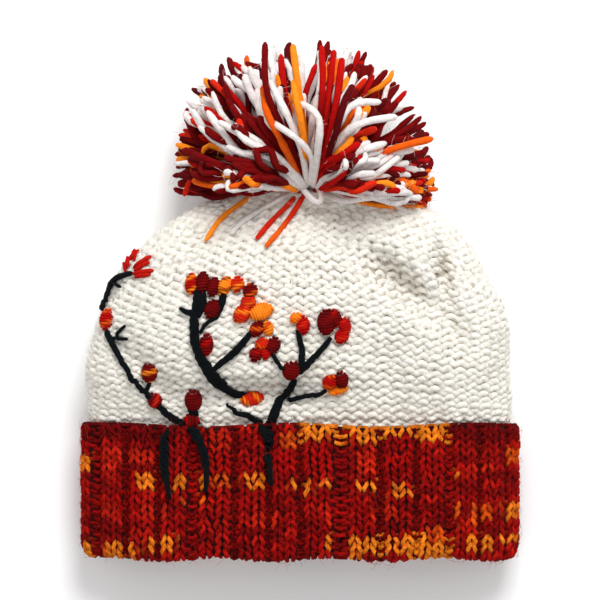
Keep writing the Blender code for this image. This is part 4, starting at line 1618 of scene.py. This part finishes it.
def ply_relief(tree, below, ply_bump):
    """The plies as a bump: waves that run round the yarn as they run along it, with streaks of fibre."""
    uv = add_node(tree, "ShaderNodeUVMap", uv_map="yarn")
    parts = add_node(tree, "ShaderNodeSeparateXYZ", [("Vector", uv.outputs[0])])
    turned = number(tree, "MULTIPLY", parts.outputs["Y"], PLY_TURNS_PER_UV)
    twist = number(tree, "ADD", parts.outputs["X"], turned)
    angle = number(tree, "MULTIPLY", twist, 2 * math.pi)
    across, upward = number(tree, "COSINE", angle), number(tree, "SINE", angle)
    ahead = number(tree, "MULTIPLY", parts.outputs["Y"], FIBRE_SHORTNESS)
    place = add_node(tree, "ShaderNodeCombineXYZ", [("X", across), ("Y", upward), ("Z", ahead)])
    fibres = add_node(
        tree, "ShaderNodeTexNoise", [("Vector", place.outputs[0])],
        in_Scale=FIBRES_ROUND, in_Detail=3.0, in_Roughness=0.6,
    )
    plies = number(tree, "COSINE", number(tree, "MULTIPLY", angle, PLIES))
    depth = number(tree, "MULTIPLY_ADD", plies, ply_bump, fibres.outputs["Fac"])
    return add_node(
        tree, "ShaderNodeBump", [("Height", depth), ("Normal", below)],
        in_Strength=PLY_STRENGTH, in_Distance=PLY_DEPTH,
    )


def wool(name, mottle, sheen, ply_bump=0, hair_bump=0, colour=None, relief=True):
    """Plied wool, or felted hair where a colour is given. mottle is how uneven the dye is."""
    material = bpy.data.materials.new(name)
    material.use_nodes = True
    tree = material.node_tree
    shader = tree.nodes["Principled BSDF"]
    shader.inputs["Roughness"].default_value = WOOL_ROUGHNESS
    shader.inputs["Specular IOR Level"].default_value = WOOL_SPECULAR
    shader.inputs["Sheen Weight"].default_value = sheen
    shader.inputs["Sheen Roughness"].default_value = BLOOM_ROUGHNESS
    places = add_node(tree, "ShaderNodeTexCoord").outputs["Object"]
    hair = add_node(
        tree, "ShaderNodeTexNoise", [("Vector", places)],
        in_Scale=1 / HAIR_NOISE, in_Detail=4.0, in_Roughness=0.65,
    )
    uneven_dye = add_node(
        tree, "ShaderNodeTexNoise", [("Vector", places)], in_Scale=1 / DYE_NOISE, in_Detail=2.0
    )
    if colour:
        dye = add_node(tree, "ShaderNodeRGB").outputs[0]
        dye.default_value = colour
    else:
        dye = add_node(tree, "ShaderNodeVertexColor", layer_name="dye").outputs["Color"]
    shade = mottled(tree, uneven_dye, mottle, DYE_MOTTLE)
    both = number(tree, "MULTIPLY", shade, mottled(tree, hair, mottle, HAIR_MOTTLE))
    tint = add_node(tree, "ShaderNodeVectorMath", [(0, dye), ("Scale", both)], operation="SCALE")
    tree.links.new(tint.outputs[0], shader.inputs["Base Color"])
    if relief:
        bump = add_node(
            tree, "ShaderNodeBump", [("Height", hair.outputs["Fac"])],
            in_Strength=hair_bump, in_Distance=HAIR_DEPTH,
        )
        if not colour:
            bump = ply_relief(tree, bump.outputs[0], ply_bump)
        tree.links.new(bump.outputs[0], shader.inputs["Normal"])
    print("material", name)
    return material


# %% [markdown]
# ## The wools
#
# Each is named for the yarn it stands for. The whites stay below full white, so that the shadows between
# the stitches can be seen in them.

# %% Wools of this hat
# Thick cream yarn: plain round plies and a faint bloom, so the stitches read as soft shadows.
crown_wool = wool("cream_chunky_wool", ply_bump=0.35, hair_bump=0.6, mottle=0.07, sheen=0.08)
# Hand-dyed yarn: strongly mottled, so no two stitches are the same red.
cuff_wool = wool("variegated_red_wool", ply_bump=0.25, hair_bump=0.6, mottle=0.42, sheen=0)
# Cut strands: the plies have opened, so they show less, and the dye is fairly even.
pompom_wool = wool("cut_pompom_wool", ply_bump=0.15, hair_bump=0.6, mottle=0.14, sheen=0)
# Black wool: only its bloom and mottle tell it from a drawn line.
stem_wool = wool("black_embroidery_wool", ply_bump=0.3, hair_bump=0.5, mottle=0.3, sheen=0.02)
# Fine red and orange wool, pulled tight.
berry_wool = wool("red_embroidery_wool", ply_bump=0.15, hair_bump=0.5, mottle=0.2, sheen=0)
# The felted hair behind the stitches, darker than they are as painted shade, so the gaps look deep.
crown_hair_painted_shade = wool("cream_wool_hair_painted_shade", hair_bump=0.8, mottle=0.08, sheen=0.1, colour=linear("#B9AFA2"))
cuff_hair_painted_shade = wool("red_wool_hair_painted_shade", hair_bump=0.8, mottle=0.2, sheen=0.1, colour=linear("#2A0204"))
# Single hairs are too thin for a relief: it would only blacken them.
single_hair = wool("single_wool_hair", mottle=0.05, sheen=0, relief=False)
# The white yarn of the tie, on a solid without a UV map, so it has hair but no plies.
tie_wool = wool("white_tie_wool", hair_bump=0.8, mottle=0.05, sheen=0.15, colour=DYES["white"])

# %% [markdown]
# ## Dressing the frame
#
# Each piece gets its wool and rides on the one body that the hat is. The knitting and the strands replace
# the plain solids of the crown, the cuff and the pompom. The embroidery replaces nothing, and the tie keeps
# its own solid.

# %% Riding and replacing
DRESSING = (
    (crown_front, crown_wool, "crown_wool", "crown"),
    (crown_back, crown_wool, "crown_wool", "crown"),
    (crown_core, crown_hair_painted_shade, "crown_wool", "crown"),
    (crown_fuzz, single_hair, "crown_wool", "crown"),
    (cuff_front, cuff_wool, "cuff_wool", "cuff"),
    (cuff_back, cuff_wool, "cuff_wool", "cuff"),
    (cuff_inside, cuff_wool, "cuff_wool", "cuff"),
    (cuff_core, cuff_hair_painted_shade, "cuff_wool", "cuff"),
    (cuff_fuzz, single_hair, "cuff_wool", "cuff"),
    (pompom, pompom_wool, "pompom_wool", "pompom"),
    (pompom_fuzz, single_hair, "pompom_wool", "pompom"),
    (stems, stem_wool, "stem_yarn", None),
    (berries, berry_wool, "berry_yarn", None),
    (flower, berry_wool, "berry_yarn", None),
)
for piece, finish, slot_name, node in DRESSING:
    piece.data.materials.clear()
    piece.data.materials.append(finish)
    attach(piece, "root")
    if node:
        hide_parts(node)
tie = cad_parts["pompom_tie"]
tie.data.materials.clear()
tie.data.materials.append(tie_wool)
print("dressed", len(DRESSING), "pieces")

# %% [markdown]
# ## The table
#
# The hat lies on white paper. A plain square well beyond the picture's edge does, a hair below the hat's
# underside, so that the two never fight for the same place.

# %% Floor
FLOOR_SIDE = 3.0
FLOOR_DROP = 0.3 * MM
PAPER_ROUGHNESS = 0.9
floor_mesh = bpy.data.meshes.new("floor")
work = bmesh.new()
bmesh.ops.create_grid(work, x_segments=1, y_segments=1, size=FLOOR_SIDE / 2)
work.to_mesh(floor_mesh)
work.free()
floor = bpy.data.objects.new("floor", floor_mesh)
bpy.context.scene.collection.objects.link(floor)
floor.location.z = -FLOOR_DROP
# Matt white paper: it takes the soft shadow and shows nothing of its own.
paper = bpy.data.materials.new("white_paper")
paper.use_nodes = True
paper_shader = paper.node_tree.nodes["Principled BSDF"]
paper_shader.inputs["Base Color"].default_value = linear("#FFFFFF")
paper_shader.inputs["Roughness"].default_value = PAPER_ROUGHNESS
floor_mesh.materials.append(paper)
print("floor", FLOOR_SIDE, "m square")

# %% [markdown]
# ## The camera
#
# The photograph looks straight down. A long lens far up sees the sides of the hat hardly at all, which
# keeps the outline true. The lens is worked out so that the level of the hat's widest outline has the
# photograph's scale.

# %% Camera
CAMERA_HEIGHT = 2.0
MATCHED_LEVEL = 25 * MM
SENSOR = 36.0
view_side = PHOTO_SIDE * MM_PER_PIXEL * MM
centre_x, centre_y = photo_place(PHOTO_SIDE / 2, PHOTO_SIDE / 2)
camera_data = bpy.data.cameras.new("camera")
camera_data.sensor_width = SENSOR
camera_data.lens = SENSOR * (CAMERA_HEIGHT - MATCHED_LEVEL) / view_side
camera = bpy.data.objects.new("camera", camera_data)
camera.location = (centre_x, centre_y, CAMERA_HEIGHT)
bpy.context.scene.collection.objects.link(camera)
bpy.context.scene.camera = camera
print("lens", round(camera_data.lens), "mm")

# %% [markdown]
# ## The light
#
# The brightest light stands beyond the pompom, a little to the right, and the shadows fall towards the
# brim. A wide weak one on the left fills them. A pale sky does the rest, so that white wool keeps its
# stitches and doesn't burn.

# %% Light
SKY_STRENGTH = 0.6
AIM = Vector((0, 0.04, 0))
world = bpy.data.worlds.new("studio")
world.use_nodes = True
world.node_tree.nodes["Background"].inputs["Color"].default_value = (1, 1, 1, 1)
world.node_tree.nodes["Background"].inputs["Strength"].default_value = SKY_STRENGTH
bpy.context.scene.world = world
bpy.context.scene.view_settings.view_transform = "Standard"

LIGHT_COLUMNS = ("place", "side", "power")
LIGHTS = (((0.25, 1.0, 1.1), 0.7, 18.5), ((-0.6, -0.2, 1.4), 1.2, 2.5))
for i, entry in enumerate(LIGHTS):
    values = dict(zip(LIGHT_COLUMNS, entry))
    lamp_data = bpy.data.lights.new(f"softbox_{i}", "AREA")
    lamp_data.shape = "SQUARE"
    lamp_data.size = values["side"]
    lamp_data.energy = values["power"]
    lamp = bpy.data.objects.new(f"softbox_{i}", lamp_data)
    lamp.location = values["place"]
    lamp.rotation_euler = (AIM - lamp.location).to_track_quat("-Z", "Y").to_euler()
    bpy.context.scene.collection.objects.link(lamp)
print("lights", len(LIGHTS))
